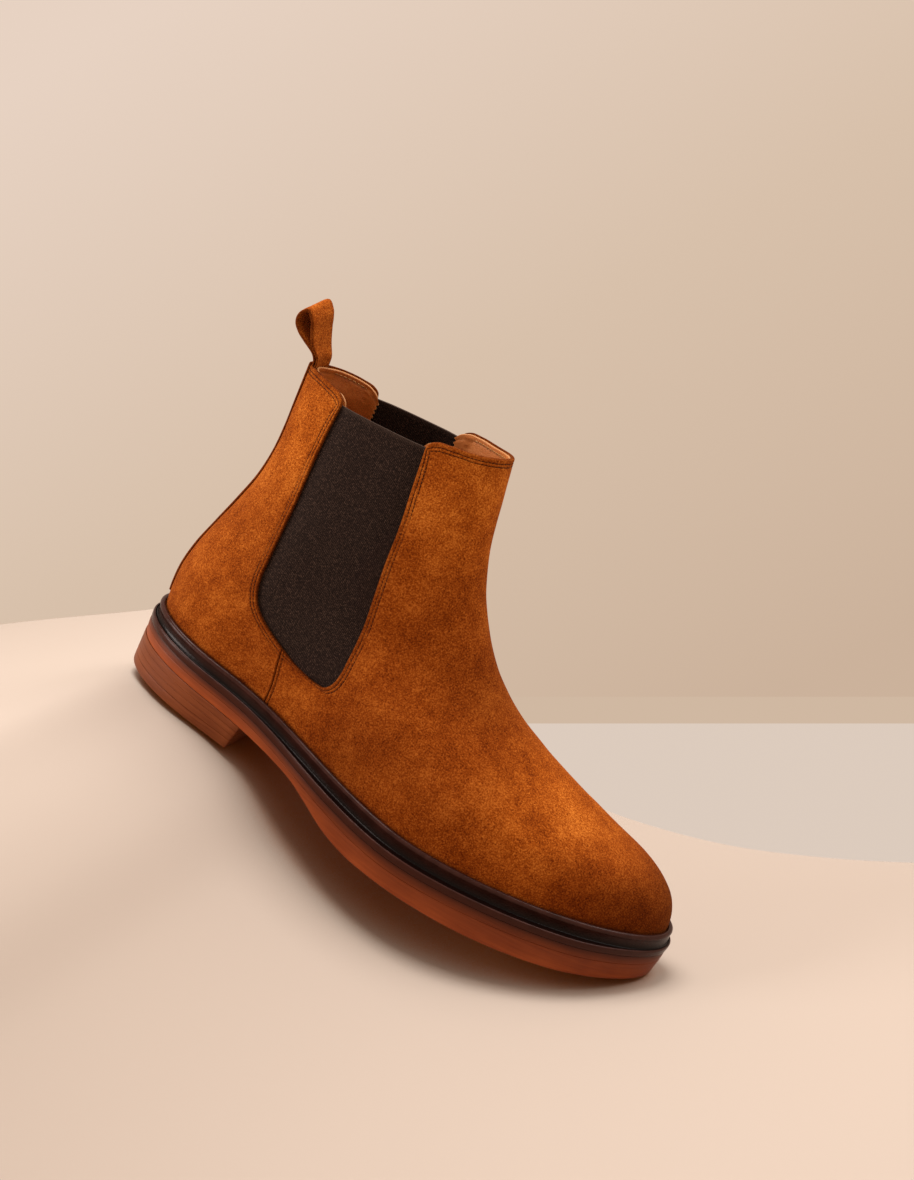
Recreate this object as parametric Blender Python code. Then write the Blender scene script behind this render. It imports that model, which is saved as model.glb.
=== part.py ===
"""Chelsea boot, right foot, about men's EU 42.

The frame is +X to the toe, +Y to the medial side, +Z up, with the origin on the floor under the
middle of the boot's box. Lengths below are millimetres in the last's own coordinates, where x runs
from the back of the heel and y from the middle of the heel. place() turns them into metres.
"""

import bmesh
import bpy
import numpy as np

# Frame: where the middle of the boot's box falls in the last's coordinates.
BOX_CENTRE_X = 152.65
BOX_CENTRE_Y = -3.06
MM = 0.001

# Walls of the upper, from the outside in.
GAP = 0.3
SUEDE = 1.8
MIDDLE = 1.2
LINING = 1.2
SANDWICH = SUEDE + GAP
LINING_DEPTH = SANDWICH + MIDDLE + GAP
BACK_STRIP = 1.2
BACK_STRIP_HALF_WIDTH = 5.0
GORE_MARGIN = 6.5
BEND_HEIGHT = 94.0
BEND_SHARE = 0.4

# The welt. Heights are from its top edge, and offsets from the upper's foot. It widens from the
# heel to the ball and narrows again at the toe, over these stretches of x.
WELT_THICKNESS = 3.5
WELT_INSIDE = -5.0
WELT_SEAT = 0.4
WELT_HEEL = 5.2
WELT_BALL = 3.0
WELT_BALL_X = (60, 150)
WELT_TOE = -3.2
WELT_TOE_X = (262, 300)
UPPER_LIFT = 1.0
UPPER_LIFT_FADE = 2.2

# Its bead, as distances out from the upper and up from the bead's crest, then its shelf.
BEAD_HEIGHT = 7.0
BEAD_FOOT = 0.7
BEAD_SHAPE = ((0.8, -1.5), (1.6, 0.0), (3.0, -1.4))
GROOVE = (3.9, 1.0)
SHELF_EDGE = 1.0
SHELF_DROP = 0.9

# Layers inside the foot: x from and to, offsets from the upper's foot or from the lining, heights
# from the welt's top edge, and the stretch of x over which a height changes.
RIB = 1.0
RIB_OFFSET = WELT_INSIDE - 0.4
RIB_TOP = 0.5
INSOLE = 2.8
INSOLE_BOTTOM = 1.0
INSOLE_INSET = 0.7
HEEL_PAD = 1.8
HEEL_PAD_BOTTOM = 4.1
HEEL_PAD_OFFSET = -9
HEEL_PAD_X = (12, 64)
SOCK = 1.0
SOCK_INSET = 1.7
SOCK_STEP_X = (86, 108)
SHANK = 1.2
SHANK_TOP = 0.6
SHANK_WIDTH = 14.0
SHANK_LINE = ((36, 0), (90, -3), (138, -6))
SHANK_STATIONS = 13
CORK_GAP = 1.1
CORK_X = (12, 288)
CORK_BOTTOM = 0.1
CORK_TOP = -0.95
CORK_STEP = 1.5
CORK_STEP_X = (162, 180)

# Layers under the welt, with how far each edge lies inside the welt's.
MIDSOLE_HEEL = 3.0
MIDSOLE_BALL = 4.5
MIDSOLE_X = (100, 180)
MIDSOLE_EDGE = 0.4
OUTSOLE_EDGES = (0.9, 0.2)
TOP_PIECE = 5.2
LIFTS = 3
HEEL_EDGE = 1.3
HEEL_FLARE = 0.6
TOP_PIECE_SHARE = 0.3
BREAST_X = 79.0
BREAST_LEAN = 2.5
NAIL_RADIUS = 1.1
NAIL_HOLE_RADIUS = 1.45
NAIL_GAP = 0.1
NAIL_HEAD_DEPTH = 0.8
NAIL_SIDES = 10
NAIL_SPOTS = ((18, 0), (28, -15), (28, 15), (52, -17), (52, 17))

# Pull loop: the middle of the strap, in x and z, from its foot up the back and down the front.
LOOP_WIDTH = 19.0
LOOP_STRAP = 1.6
LOOP_PATH = ((19.3, 182.9), (16.2, 185.7), (11.8, 189.0), (6.6, 192.4), (3.2, 196.5), (3.3, 201.0),
             (6.3, 204.4), (9.4, 202.0), (13.0, 194.4), (16.6, 187.4))
LOOP_PIVOT = (19.3, 181.7)

# Side view of the last: x and z up the back, and x and z over the toe and up the instep.
BACK_LINE = ((5.2, 34), (3.9, 40), (2.9, 48), (2.7, 57), (4.6, 70), (9.2, 86), (14.3, 103),
             (18.4, 119), (19.9, 134), (19.5, 147), (18.3, 160), (16.6, 179.4))
FRONT_LINE = ((300.3, 30), (300, 35), (298.2, 42), (294.3, 49), (287, 55), (277, 59.2), (266, 62),
              (250, 65.7), (232, 70.3), (214, 75.5), (197, 81.8), (182, 89.3), (168.5, 99),
              (156.5, 111.5), (148, 123), (142, 134.5), (137.3, 146), (133.8, 158), (131, 170),
              (128, 182), (125.8, 191.8))
WELT_TOP = ((-10, 29.6), (0, 29.3), (37, 28), (78, 26.3), (118, 21.3), (155, 17.8), (190, 17.4),
            (232, 20), (273, 23.5), (312, 27))
TREAD = ((-10, 17.6), (0, 17.3), (78, 14.3), (100, 12.7), (118, 10.5), (130, 6.9), (143, 2.6),
         (158, 0.3), (172, 0), (216, 0), (245, 1.8), (280, 5.5), (312, 9.6))
TREAD_FLAT = (168, 222)

# Half widths of the last, each row one height v from the feather (0) to the top (1).
WIDTH_X = (5, 60, 100, 140, 175, 205, 250, 300)
WIDTH_V = (0, 0.15, 0.3, 0.5, 0.7, 0.85, 1)
SHAFT_WIDTHS = ((31, 33, 35, 37.5, 40, 42, 42, 42), (29, 30, 31, 32, 33, 33, 33, 33),
                (26.5, 27, 28, 28.5, 28.5, 28.5, 28.5, 28.5),
                (24, 24.3, 25.3, 25.5, 25.5, 25.5, 25.5, 25.5))
LATERAL_WIDTHS = ((28.5, 29, 33, 42, 48.3, 48.5, 48.5, 48.5),
                  (30.5, 32, 35.5, 43, 48.5, 49, 48.5, 47),
                  (31, 33.5, 36.5, 42, 46.5, 47.5, 46, 45)) + SHAFT_WIDTHS
MEDIAL_WIDTHS = ((28.5, 28.5, 26.5, 30.5, 38, 42, 42, 42),
                 (30.5, 31.5, 30.5, 34, 40, 43, 42.5, 41),
                 (31, 33, 34, 36.5, 40, 42, 41, 40)) + SHAFT_WIDTHS
# How far the rounding of a level section reaches from its back and from its front.
ROUND_BACK = 51.0
ROUND_LATERAL = ((0, 135), (0.15, 128), (0.3, 135), (0.5, 150), (0.6, 112), (0.7, 78), (0.85, 58), (1, 50))
ROUND_MEDIAL = ((0, 110), (0.15, 112), (0.3, 130), (0.5, 150), (0.6, 112), (0.7, 78), (0.85, 58), (1, 50))
TOE_TURN_X = 186.0
TOE_TURN = 0.001

# Outline of the elastic gore, down its rear edge and up its front edge, in x and z.
GORE_REAR = ((46.2, 175.2), (46.6, 160), (47.8, 142), (49.6, 126), (50.9, 110), (52.2, 94))
GORE_REAR_FOOT = ((52.2, 94), (52.8, 86), (54.4, 79), (58, 72.4), (64, 67.6), (71, 64.2), (79.5, 61))
GORE_FRONT_FOOT = ((79.5, 61), (87, 58.8), (95, 57.5), (102, 57.1), (107, 58.2), (110, 62.5),
                   (111.3, 69), (110.9, 77), (109.8, 86), (108.6, 94))
GORE_FRONT = ((108.6, 94), (105.8, 108), (102.8, 124), (100.2, 142), (96.6, 160), (92.6, 181))
TOPLINE_REAR = ((46.2, 175.2), (45.3, 177.8), (42.6, 179.6), (37, 180.4), (28, 180.5), (16.6, 179.4))
TOPLINE_FRONT = ((92.6, 181), (93.4, 183.6), (96.2, 185.8), (102, 187.2), (113, 188.8), (125.8, 191.8))
SEAM_X = 82.5

# Facets: columns around the gore, and rows from the gore out to the sole or the middle.
COLUMNS_SHAFT = 10
COLUMNS_HEEL_BACK = 4
COLUMNS_HEEL_SIDE = 6
COLUMNS_FOREFOOT = 12
COLUMNS_INSTEP = 8
QUARTER_ROWS = ((14, 0.4), (BACK_STRIP_HALF_WIDTH, 0.2))
VAMP_ROWS = ((32, 0.55), (18, 0.34), (8, 0.16))
EVEN_ROWS = 2
GORE_STRIPS = 4
TOPLINE_FADE = 4
INSTEP_TURN = 11
WELD = 0.005
WELD_OFFSET = 0.137

LATERAL, MEDIAL = -1, 1
SIDES = ((LATERAL, "lateral"), (MEDIAL, "medial"))


# ---------------------------------------------------------------- curves


def hermite(fraction, step, start, end, start_slope, end_slope):
    rest = 1 - fraction
    ends = start * (1 + 2 * fraction) * rest**2 + end * fraction**2 * (3 - 2 * fraction)
    return ends + step * (start_slope * fraction * rest**2 - end_slope * fraction**2 * rest)


def curve(inputs, values):
    """A smooth curve through values at rising inputs, as a function of the input."""
    inputs = np.asarray(inputs, float)
    values = np.asarray(values, float)
    slopes = np.gradient(values, inputs, axis=0)

    def at(query):
        query = np.clip(np.asarray(query, float), inputs[0], inputs[-1])
        k = np.clip(np.searchsorted(inputs, query, side="right") - 1, 0, len(inputs) - 2)
        step = inputs[k + 1] - inputs[k]
        fraction = (query - inputs[k]) / step
        if values.ndim > 1:
            step, fraction = step[..., None], fraction[..., None]
        return hermite(fraction, step, values[k], values[k + 1], slopes[k], slopes[k + 1])

    return at


def pairs(points):
    points = np.asarray(points, float)
    return curve(points[:, 0], points[:, 1])


def path(points):
    """A smooth path through points, as a function of the share of its length."""
    points = np.asarray(points, float)
    run = np.r_[0, np.cumsum(np.linalg.norm(np.diff(points, axis=0), axis=1))]
    return curve(run / run[-1], points)


def ease(value, start, end):
    share = np.clip((value - start) / (end - start), 0, 1)
    return share * share * (3 - 2 * share)


back_line, front_line = path(BACK_LINE), path(FRONT_LINE)
welt_top = pairs(WELT_TOP)
rounding = {LATERAL: pairs(ROUND_LATERAL), MEDIAL: pairs(ROUND_MEDIAL)}


def tread(x):
    """Height of the outsole's underside, which is flat under the ball."""
    flat = (np.asarray(x) >= TREAD_FLAT[0]) & (np.asarray(x) <= TREAD_FLAT[1])
    return np.where(flat, 0.0, np.maximum(pairs(TREAD)(x), 0.0))


# ---------------------------------------------------------------- the last's surface


def width_table(rows):
    along = [curve(WIDTH_X, row) for row in rows]
    heights = np.asarray(WIDTH_V, float)

    def at(v, x):
        grid = np.stack([one(x) for one in along], -1)
        slopes = np.gradient(grid, heights, axis=-1)
        k = np.clip(np.searchsorted(heights, v, side="right") - 1, 0, len(heights) - 2)
        step = heights[k + 1] - heights[k]

        def pick(table, index):
            return np.take_along_axis(table, index[..., None], -1)[..., 0]

        return hermite((v - heights[k]) / step, step, pick(grid, k), pick(grid, k + 1),
                       pick(slopes, k), pick(slopes, k + 1))

    return at


half_width = {LATERAL: width_table(LATERAL_WIDTHS), MEDIAL: width_table(MEDIAL_WIDTHS)}


def side_view(turn, v):
    """x and z of the surface. turn runs 0 to pi from the back to the front, v 0 to 1 upwards."""
    share = (1 - np.cos(turn)) / 2
    back, front = back_line(v), front_line(v)
    x = back[..., 0] * (1 - share) + front[..., 0] * share
    z = back[..., 1] * (1 - share) + front[..., 1] * share
    foot_x = BACK_LINE[0][0] * (1 - share) + FRONT_LINE[0][0] * share
    foot_z = BACK_LINE[0][1] * (1 - share) + FRONT_LINE[0][1] * share
    drop = welt_top(foot_x) + UPPER_LIFT - foot_z
    return x, z + drop * (1 - v) ** UPPER_LIFT_FADE, share, front[..., 0] - back[..., 0]


def outside(side, turn, v):
    turn, v = np.broadcast_arrays(np.asarray(turn, float), np.asarray(v, float))
    x, z, share, length = side_view(turn, v)
    near_back = np.clip(share * length / ROUND_BACK, 0, 1)
    near_front = np.clip((1 - share) * length / rounding[side](v), 0, 1)
    rounded = np.sqrt(1 - (1 - near_back) ** 2) * np.sqrt(1 - (1 - near_front) ** 2)
    middle = TOE_TURN * np.clip(x - TOE_TURN_X, 0, None) ** 2
    return np.stack([x, middle + side * half_width[side](v, x) * rounded, z], -1)


def surface(side, turn, v, depth):
    """Points of the upper, a depth in from its outside."""
    nudge = 1e-3
    turn, v = np.broadcast_arrays(np.asarray(turn, float), np.asarray(v, float))
    along = (outside(side, np.minimum(turn + nudge, np.pi), v)
             - outside(side, np.maximum(turn - nudge, 0), v))
    up = (outside(side, turn, np.minimum(v + nudge, 1))
          - outside(side, turn, np.maximum(v - nudge, 0)))
    normal = -side * np.cross(along, up)
    normal /= np.linalg.norm(normal, axis=-1, keepdims=True)
    return outside(side, turn, v) - depth * normal


def locate(points):
    """turn and v of side-view points, found by halving."""
    x, z = np.asarray(points, float).T
    low, high = np.zeros(len(x)), np.ones(len(x))
    for _ in range(40):
        v = (low + high) / 2
        back, front = back_line(v)[:, 0], front_line(v)[:, 0]
        turn = np.arccos(1 - 2 * np.clip((x - back) / (front - back), 0, 1))
        above = side_view(turn, v)[1] > z
        high = np.where(above, v, high)
        low = np.where(above, low, v)
    return np.stack([turn, v], -1)


# ---------------------------------------------------------------- the panels' grids


def steps(count):
    return np.linspace(0, 1, count + 1)


def joined(*pieces):
    """Stretches end to end, each leaving out the point it shares with the one before."""
    return np.concatenate([pieces[0]] + [piece[1:] for piece in pieces[1:]])


def line_between(start, end, count):
    return start + (np.asarray(end) - start) * steps(count)[:, None]


def outer_edges():
    """turn and v of the two panels' far edges: rear to the back and sole, front to the sole and ridge."""
    seam_turn = np.arccos(1 - 2 * (SEAM_X - BACK_LINE[0][0]) / (FRONT_LINE[0][0] - BACK_LINE[0][0]))
    bend_v = locate([(back_line(BEND_SHARE)[0], BEND_HEIGHT)])[0, 1]
    instep_v = locate([(FRONT_LINE[INSTEP_TURN][0] - 0.01, FRONT_LINE[INSTEP_TURN][1])])[0, 1]
    heel, seam, toe = np.array([0, 0]), np.array([seam_turn, 0]), np.array([np.pi, 0])
    rear = joined(line_between(np.array([0, 1]), (0, bend_v), COLUMNS_SHAFT),
                  line_between(np.array([0, bend_v]), heel, COLUMNS_HEEL_BACK),
                  line_between(heel, seam, COLUMNS_HEEL_SIDE))
    front = joined(line_between(seam, toe, COLUMNS_FOREFOOT),
                   line_between(toe, (np.pi, instep_v), COLUMNS_INSTEP),
                   line_between(np.array([np.pi, instep_v]), (np.pi, 1), COLUMNS_SHAFT))
    return rear, front


def gore_edges():
    rear = joined(path(GORE_REAR)(steps(COLUMNS_SHAFT)),
                  path(GORE_REAR_FOOT)(steps(COLUMNS_HEEL_BACK + COLUMNS_HEEL_SIDE)))
    front = joined(path(GORE_FRONT_FOOT)(steps(COLUMNS_FOREFOOT + COLUMNS_INSTEP)),
                   path(GORE_FRONT)(steps(COLUMNS_SHAFT)))
    return locate(rear), locate(front)


def row_shares(length, from_edge):
    """Shares across a panel: the gore's margin, even rows, then distances from the far edge."""
    near = min(GORE_MARGIN / length, 0.2)
    far = [1 - min(distance / length, limit) for distance, limit in from_edge]
    middle = np.linspace(near, far[0], EVEN_ROWS + 2)[1:-1]
    return np.r_[0, near, middle, far, 1]


def panel(gore_edge, far_edge, topline, top_first, from_edge):
    """turn and v of a panel's grid: one column per point of its edges, with the topline's curve."""
    columns = []
    count = len(gore_edge)
    for j in range(count):
        ends = outside(LATERAL, *np.stack([gore_edge[j], far_edge[j]]).T)
        shares = row_shares(np.linalg.norm(ends[1] - ends[0]), from_edge)
        straight = gore_edge[j] + (far_edge[j] - gore_edge[j]) * shares[:, None]
        top = 0 if top_first else count - 1
        fade = max(0, 1 - abs(j - top) / TOPLINE_FADE) ** 2
        top_line = gore_edge[top] + (far_edge[top] - gore_edge[top]) * shares[:, None]
        bulge = locate(path(topline)(shares)) - top_line
        columns.append(straight + fade * bulge)
    grid = np.stack(columns)
    grid[:, -1] = far_edge
    return np.clip(grid, 0, (np.pi, 1))


REAR_FAR, FRONT_FAR = outer_edges()
REAR_GORE, FRONT_GORE = gore_edges()
QUARTER = panel(REAR_GORE, REAR_FAR, TOPLINE_REAR, True, QUARTER_ROWS)
VAMP = panel(FRONT_GORE, FRONT_FAR, TOPLINE_FRONT, False, VAMP_ROWS)
BEND = COLUMNS_SHAFT
HEEL_CORNER = COLUMNS_SHAFT + COLUMNS_HEEL_BACK
TOE_CORNER = COLUMNS_FOREFOOT

# Gaps between neighbours, as turns and heights.
BACK_GAP = 0.006
SEAM_GAP = 0.0032
BEND_GAP = 0.0012
STRIP_FOOT = 0.065


def rear_grid(upper, back_gap):
    """The rear panel above or below the bend, which leaves a gap there and along the back."""
    grid = QUARTER.copy()
    grid[: HEEL_CORNER + 1, -1, 0] = back_gap
    if upper:
        grid[BEND, :, 1] += BEND_GAP
        return grid[: BEND + 1]
    grid[BEND, :, 1] -= BEND_GAP
    return grid[BEND:]


def front_grid():
    grid = VAMP.copy()
    grid[0, :, 0] += SEAM_GAP
    return grid


# ---------------------------------------------------------------- making solids


def place(points):
    """Metres in the boot's frame from millimetres on the last."""
    return (np.asarray(points, float) - (BOX_CENTRE_X, BOX_CENTRE_Y, 0)) * MM


def material(name, colour, roughness, metallic=0.0):
    made = bpy.data.materials.new(name)
    made.use_nodes = True
    shader = made.node_tree.nodes["Principled BSDF"]
    shader.inputs["Base Color"].default_value = (*colour, 1)
    shader.inputs["Roughness"].default_value = roughness
    shader.inputs["Metallic"].default_value = metallic
    return made


def add_solid(name, vertices, faces, finish, pivot=(0, 0, 0)):
    """One closed body from points on the last, with its origin at the pivot, in metres."""
    shape = bmesh.new()
    corners = [shape.verts.new(point) for point in place(vertices) - pivot]
    for face in faces:
        shape.faces.new([corners[k] for k in face])
    bmesh.ops.recalc_face_normals(shape, faces=shape.faces)
    mesh = bpy.data.meshes.new(name)
    shape.to_mesh(mesh)
    shape.free()
    made = bpy.data.objects.new(name, mesh)
    made.location = pivot
    made.data.materials.append(material(name, *finish))
    boot.objects.link(made)
    return made


def shell(name, sheets, finish, pivot=(0, 0, 0)):
    """A wall between outer and inner grids of points. Sheets that share keys are joined there."""
    index, outer, inner, faces = {}, [], [], []
    for outer_grid, inner_grid, keys in sheets:
        numbers = np.empty(outer_grid.shape[:2], int)
        for spot in np.ndindex(*numbers.shape):
            key = tuple(np.round(keys[spot], 6))
            if key not in index:
                index[key] = len(outer)
                outer.append(outer_grid[spot])
                inner.append(inner_grid[spot])
            numbers[spot] = index[key]
        for j, r in np.ndindex(numbers.shape[0] - 1, numbers.shape[1] - 1):
            a, b, c, d = numbers[j, r], numbers[j + 1, r], numbers[j + 1, r + 1], numbers[j, r + 1]
            for face in ((a, b, c), (a, c, d)):
                if len(set(face)) == 3:
                    faces.append(face)
    return close_wall(name, outer, inner, faces, finish, pivot)


def close_wall(name, outer, inner, faces, finish, pivot=(0, 0, 0)):
    """Outer faces, the same faces inside, and a rim along every edge that only one face has."""
    uses = {}
    for face in faces:
        for start, end in zip(face, face[1:] + face[:1]):
            key = (min(start, end), max(start, end))
            uses[key] = uses.get(key, 0) + 1
    count = len(outer)
    solid = list(faces) + [tuple(k + count for k in face) for face in faces]
    for (start, end), used in uses.items():
        if used == 1:
            solid += [(start, end, end + count), (start, end + count, start + count)]
    return add_solid(name, np.vstack([outer, inner]), solid, finish, pivot)


def sheet(side, grid, depth, thickness):
    """Outer points, inner points, and keys that are the same for both sides on the boot's middle."""
    turn, v = grid[..., 0], grid[..., 1]
    owner = np.where((turn == 0) | (turn == np.pi), 0, side)
    keys = np.stack([owner, turn, v], -1)
    return surface(side, turn, v, depth), surface(side, turn, v, depth + thickness), keys


def both_sides(grid, depth, thickness):
    return [sheet(side, grid, depth, thickness) for side, _ in SIDES]


# ---------------------------------------------------------------- plan outlines of the bottom


def plan(turns, offset):
    """Lateral and medial edge points in plan, an offset out from the feather line, heel to toe."""
    lateral, medial = outside(LATERAL, turns, 0), outside(MEDIAL, turns, 0)
    ring = np.vstack([lateral, medial[::-1][1:-1]])[:, :2]
    along = np.roll(ring, -1, 0) - np.roll(ring, 1, 0)
    outward = np.stack([along[:, 1], -along[:, 0]], -1) / np.linalg.norm(along, axis=1)[:, None]
    last = len(turns) - 1
    offset = np.broadcast_to(offset, len(turns))
    spread = np.r_[offset, offset[::-1][1:-1]]
    ring = ring + outward * spread[:, None]
    return ring[: last + 1], np.vstack([ring[:1], ring[last:][::-1]])


def welt_offset(turns):
    x = outside(LATERAL, turns, 0)[:, 0]
    return WELT_HEEL + WELT_BALL * ease(x, *WELT_BALL_X) + WELT_TOE * ease(x, *WELT_TOE_X)


def sole_turns():
    """Twice as many stations as the upper has along its foot, over the whole length."""
    base = np.r_[REAR_FAR[HEEL_CORNER:, 0], FRONT_FAR[1 : TOE_CORNER + 1, 0]]
    return np.interp(np.linspace(0, len(base) - 1, 2 * len(base) - 1), np.arange(len(base)), base)


SOLE_TURNS = sole_turns()
FOOT_TURNS = SOLE_TURNS[::2]


def part_plan(turns, offset, low_x, high_x):
    """The plan between two x positions, cut square there."""
    edges = plan(turns, offset)
    inside = np.all([(edge[:, 0] > low_x + 1) & (edge[:, 0] < high_x - 1) for edge in edges], axis=0)
    cut = []
    for edge in edges:
        rising = edge[np.argmin(edge[:, 0]) :]
        ends = [(x, np.interp(x, rising[:, 0], rising[:, 1])) for x in (low_x, high_x)]
        first = [ends[0]] if low_x > edge[0, 0] else []
        last = [ends[1]] if high_x < edge[-1, 0] else []
        cut.append(np.array(first + [tuple(point) for point in edge[inside]] + last))
    return cut


def slab(name, low, high, bottom, top, finish):
    """A plate between a lower and an upper outline, with heights as functions of x."""
    low, high = [np.asarray(edge) for edge in low], [np.asarray(edge) for edge in high]
    count = len(low[0])
    rings = [np.c_[edge, bottom(edge[:, 0])] for edge in low]
    rings += [np.c_[edge, top(edge[:, 0])] for edge in high]
    vertices = np.vstack(rings)
    below, above = (0, count), (2 * count, 3 * count)
    faces = []
    for k in range(count - 1):
        for left, right in (below, above, (below[0], above[0]), (below[1], above[1])):
            faces.append((left + k, left + k + 1, right + k + 1))
            faces.append((left + k, right + k + 1, right + k))
    for k in (0, count - 1):
        faces.append((below[0] + k, below[1] + k, above[1] + k))
        faces.append((below[0] + k, above[1] + k, above[0] + k))
    return add_welded(name, vertices, faces, finish)


def add_welded(name, vertices, faces, finish):
    """Joins points that coincide, such as at the ends of an outline, and drops the faces that vanish."""
    index, kept, numbers = {}, [], []
    for vertex in vertices:
        key = tuple(np.round(vertex / WELD + WELD_OFFSET).astype(int))
        if key not in index:
            index[key] = len(kept)
            kept.append(vertex)
        numbers.append(index[key])
    faces = [tuple(numbers[k] for k in face) for face in faces]
    return add_solid(name, np.array(kept), [face for face in faces if len(set(face)) == 3], finish)


def above_welt(height):
    return lambda x: welt_top(x) + height


def midsole_thickness(x):
    return MIDSOLE_HEEL + (MIDSOLE_BALL - MIDSOLE_HEEL) * ease(x, *MIDSOLE_X)


def midsole_bottom(x):
    return welt_top(x) - WELT_THICKNESS - GAP - midsole_thickness(x)


def heel_level(share):
    """A level in the heel, from the top of the top piece (0) to the outsole (1)."""
    return lambda x: TOP_PIECE + (tread(x) - GAP - TOP_PIECE) * share


# ---------------------------------------------------------------- finishes

SUEDE_FINISH = ((0.33, 0.105, 0.022), 0.9)
LINING_FINISH = ((0.51, 0.22, 0.09), 0.5)
GORE_FINISH = ((0.03, 0.021, 0.018), 0.75)
BOARD_FINISH = ((0.55, 0.42, 0.27), 0.8)
FOAM_FINISH = ((0.75, 0.7, 0.6), 0.9)
CORK_FINISH = ((0.45, 0.27, 0.13), 0.9)
STEEL_FINISH = ((0.6, 0.6, 0.6), 0.35, 1.0)
WELT_FINISH = ((0.035, 0.016, 0.011), 0.35)
SOLE_FINISH = ((0.13, 0.035, 0.016), 0.4)


# ---------------------------------------------------------------- the upper


def make_suede():
    shell("vamp", both_sides(front_grid(), 0, SUEDE), SUEDE_FINISH)
    for side, word in SIDES:
        lower, upper = rear_grid(False, BACK_GAP), rear_grid(True, BACK_GAP)
        shell(f"quarter_{word}", [sheet(side, lower, 0, SUEDE)], SUEDE_FINISH)
        shell(f"collar_{word}", [sheet(side, upper, 0, SUEDE)], SUEDE_FINISH)


def make_back_strip():
    lower = rear_grid(False, 0)[: COLUMNS_HEEL_BACK + 1, -2:]
    lower[-1, :, 1] = STRIP_FOOT
    depth = -GAP - BACK_STRIP
    shell("back_strip_lower", both_sides(lower, depth, BACK_STRIP), SUEDE_FINISH)
    shell("back_strip_upper", both_sides(rear_grid(True, 0)[:, -2:], depth, BACK_STRIP), SUEDE_FINISH)


def make_linings():
    shell("vamp_lining", both_sides(front_grid(), LINING_DEPTH, LINING), LINING_FINISH)
    shell("heel_lining", both_sides(rear_grid(False, 0), LINING_DEPTH, LINING), LINING_FINISH)
    shell("collar_lining", both_sides(rear_grid(True, 0), LINING_DEPTH, LINING), LINING_FINISH)


def make_stiffeners():
    """The counter round the heel and the puff over the toe, both clear of the gore and the topline."""
    counter = rear_grid(False, 0)[1:, 3:]
    shell("heel_counter", both_sides(counter, SANDWICH, MIDDLE), BOARD_FINISH)
    puff = front_grid()[TOE_CORNER - 4 : TOE_CORNER + 3, 5:]
    shell("toe_puff", both_sides(puff, SANDWICH, MIDDLE), BOARD_FINISH)


def gore_faces(rear, front, foot_rows):
    """Point grid rows across the shaft, then a fan over the rounded foot. Returns points and faces."""
    across = steps(GORE_STRIPS)[:, None]
    points, faces = [], []
    for j in range(foot_rows + 1):
        points += list(rear[j] + (front[-1 - j] - rear[j]) * across)
    width = GORE_STRIPS + 1
    for j, k in np.ndindex(foot_rows, GORE_STRIPS):
        a = j * width + k
        faces += [(a, a + width, a + width + 1), (a, a + width + 1, a + 1)]
    foot = np.vstack([rear[foot_rows + 1 :], front[1 : len(front) - foot_rows - 1]])
    row = foot_rows * width
    loop = [row] + list(range(len(points), len(points) + len(foot))) + list(range(row + width - 1, row, -1))
    points += list(foot)
    ring = np.array([points[k] for k in loop])
    middle = ring.mean(axis=0)
    inner = list(range(len(points), len(points) + len(loop)))
    points += list((ring + middle) / 2)
    points.append(middle)
    for k in range(len(loop)):
        after = (k + 1) % len(loop)
        faces += [(loop[k], loop[after], inner[after]), (loop[k], inner[after], inner[k]),
                  (inner[k], inner[after], len(points) - 1)]
    return np.array(points), faces


def make_gore(side, word):
    """The elastic: what shows, and a margin that lies between the suede and the lining."""
    points, faces = gore_faces(QUARTER[:, 0], VAMP[:, 0], COLUMNS_SHAFT)
    width = GORE_STRIPS + 1
    rear_edge = [j * width for j in range(COLUMNS_SHAFT + 1)]
    front_edge = [j * width + GORE_STRIPS for j in range(COLUMNS_SHAFT, -1, -1)]
    foot_start = (COLUMNS_SHAFT + 1) * width
    foot_count = len(QUARTER) - COLUMNS_SHAFT - 1 + len(VAMP) - COLUMNS_SHAFT - 2
    edge = rear_edge + list(range(foot_start, foot_start + foot_count)) + front_edge
    margin = np.vstack([QUARTER[:, 1], VAMP[1:, 1]])
    start = len(points)
    points = np.vstack([points, margin])
    for k in range(len(edge) - 1):
        a, b = start + k, start + k + 1
        faces += [(edge[k], edge[k + 1], b), (edge[k], b, a)]
    turn, v = points.T
    outer, inner = surface(side, turn, v, SANDWICH), surface(side, turn, v, SANDWICH + MIDDLE)
    close_wall(f"gore_{word}", outer, inner, faces, GORE_FINISH)


def make_pull_loop():
    """A strap folded into a loop, with its foot on the pivot at the collar's edge."""
    middle = np.array(LOOP_PATH)
    along = np.roll(middle, -1, 0) - np.roll(middle, 1, 0)
    normal = np.stack([-along[:, 1], along[:, 0]], -1) / np.linalg.norm(along, axis=1)[:, None]
    count = len(middle)
    rings = [middle + normal * LOOP_STRAP / 2, middle - normal * LOOP_STRAP / 2]
    vertices = [np.insert(ring, 1, y, axis=1) for y in (-LOOP_WIDTH / 2, LOOP_WIDTH / 2) for ring in rings]
    faces = []
    for k in range(count):
        after = (k + 1) % count
        for one, two in ((0, 1), (1, 3), (3, 2), (2, 0)):
            a, b = one * count, two * count
            faces += [(a + k, a + after, b + after), (a + k, b + after, b + k)]
    pivot = place((LOOP_PIVOT[0], 0, LOOP_PIVOT[1]))
    add_solid("pull_loop", np.vstack(vertices), faces, SUEDE_FINISH, pivot)


# ---------------------------------------------------------------- the bottom


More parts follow.
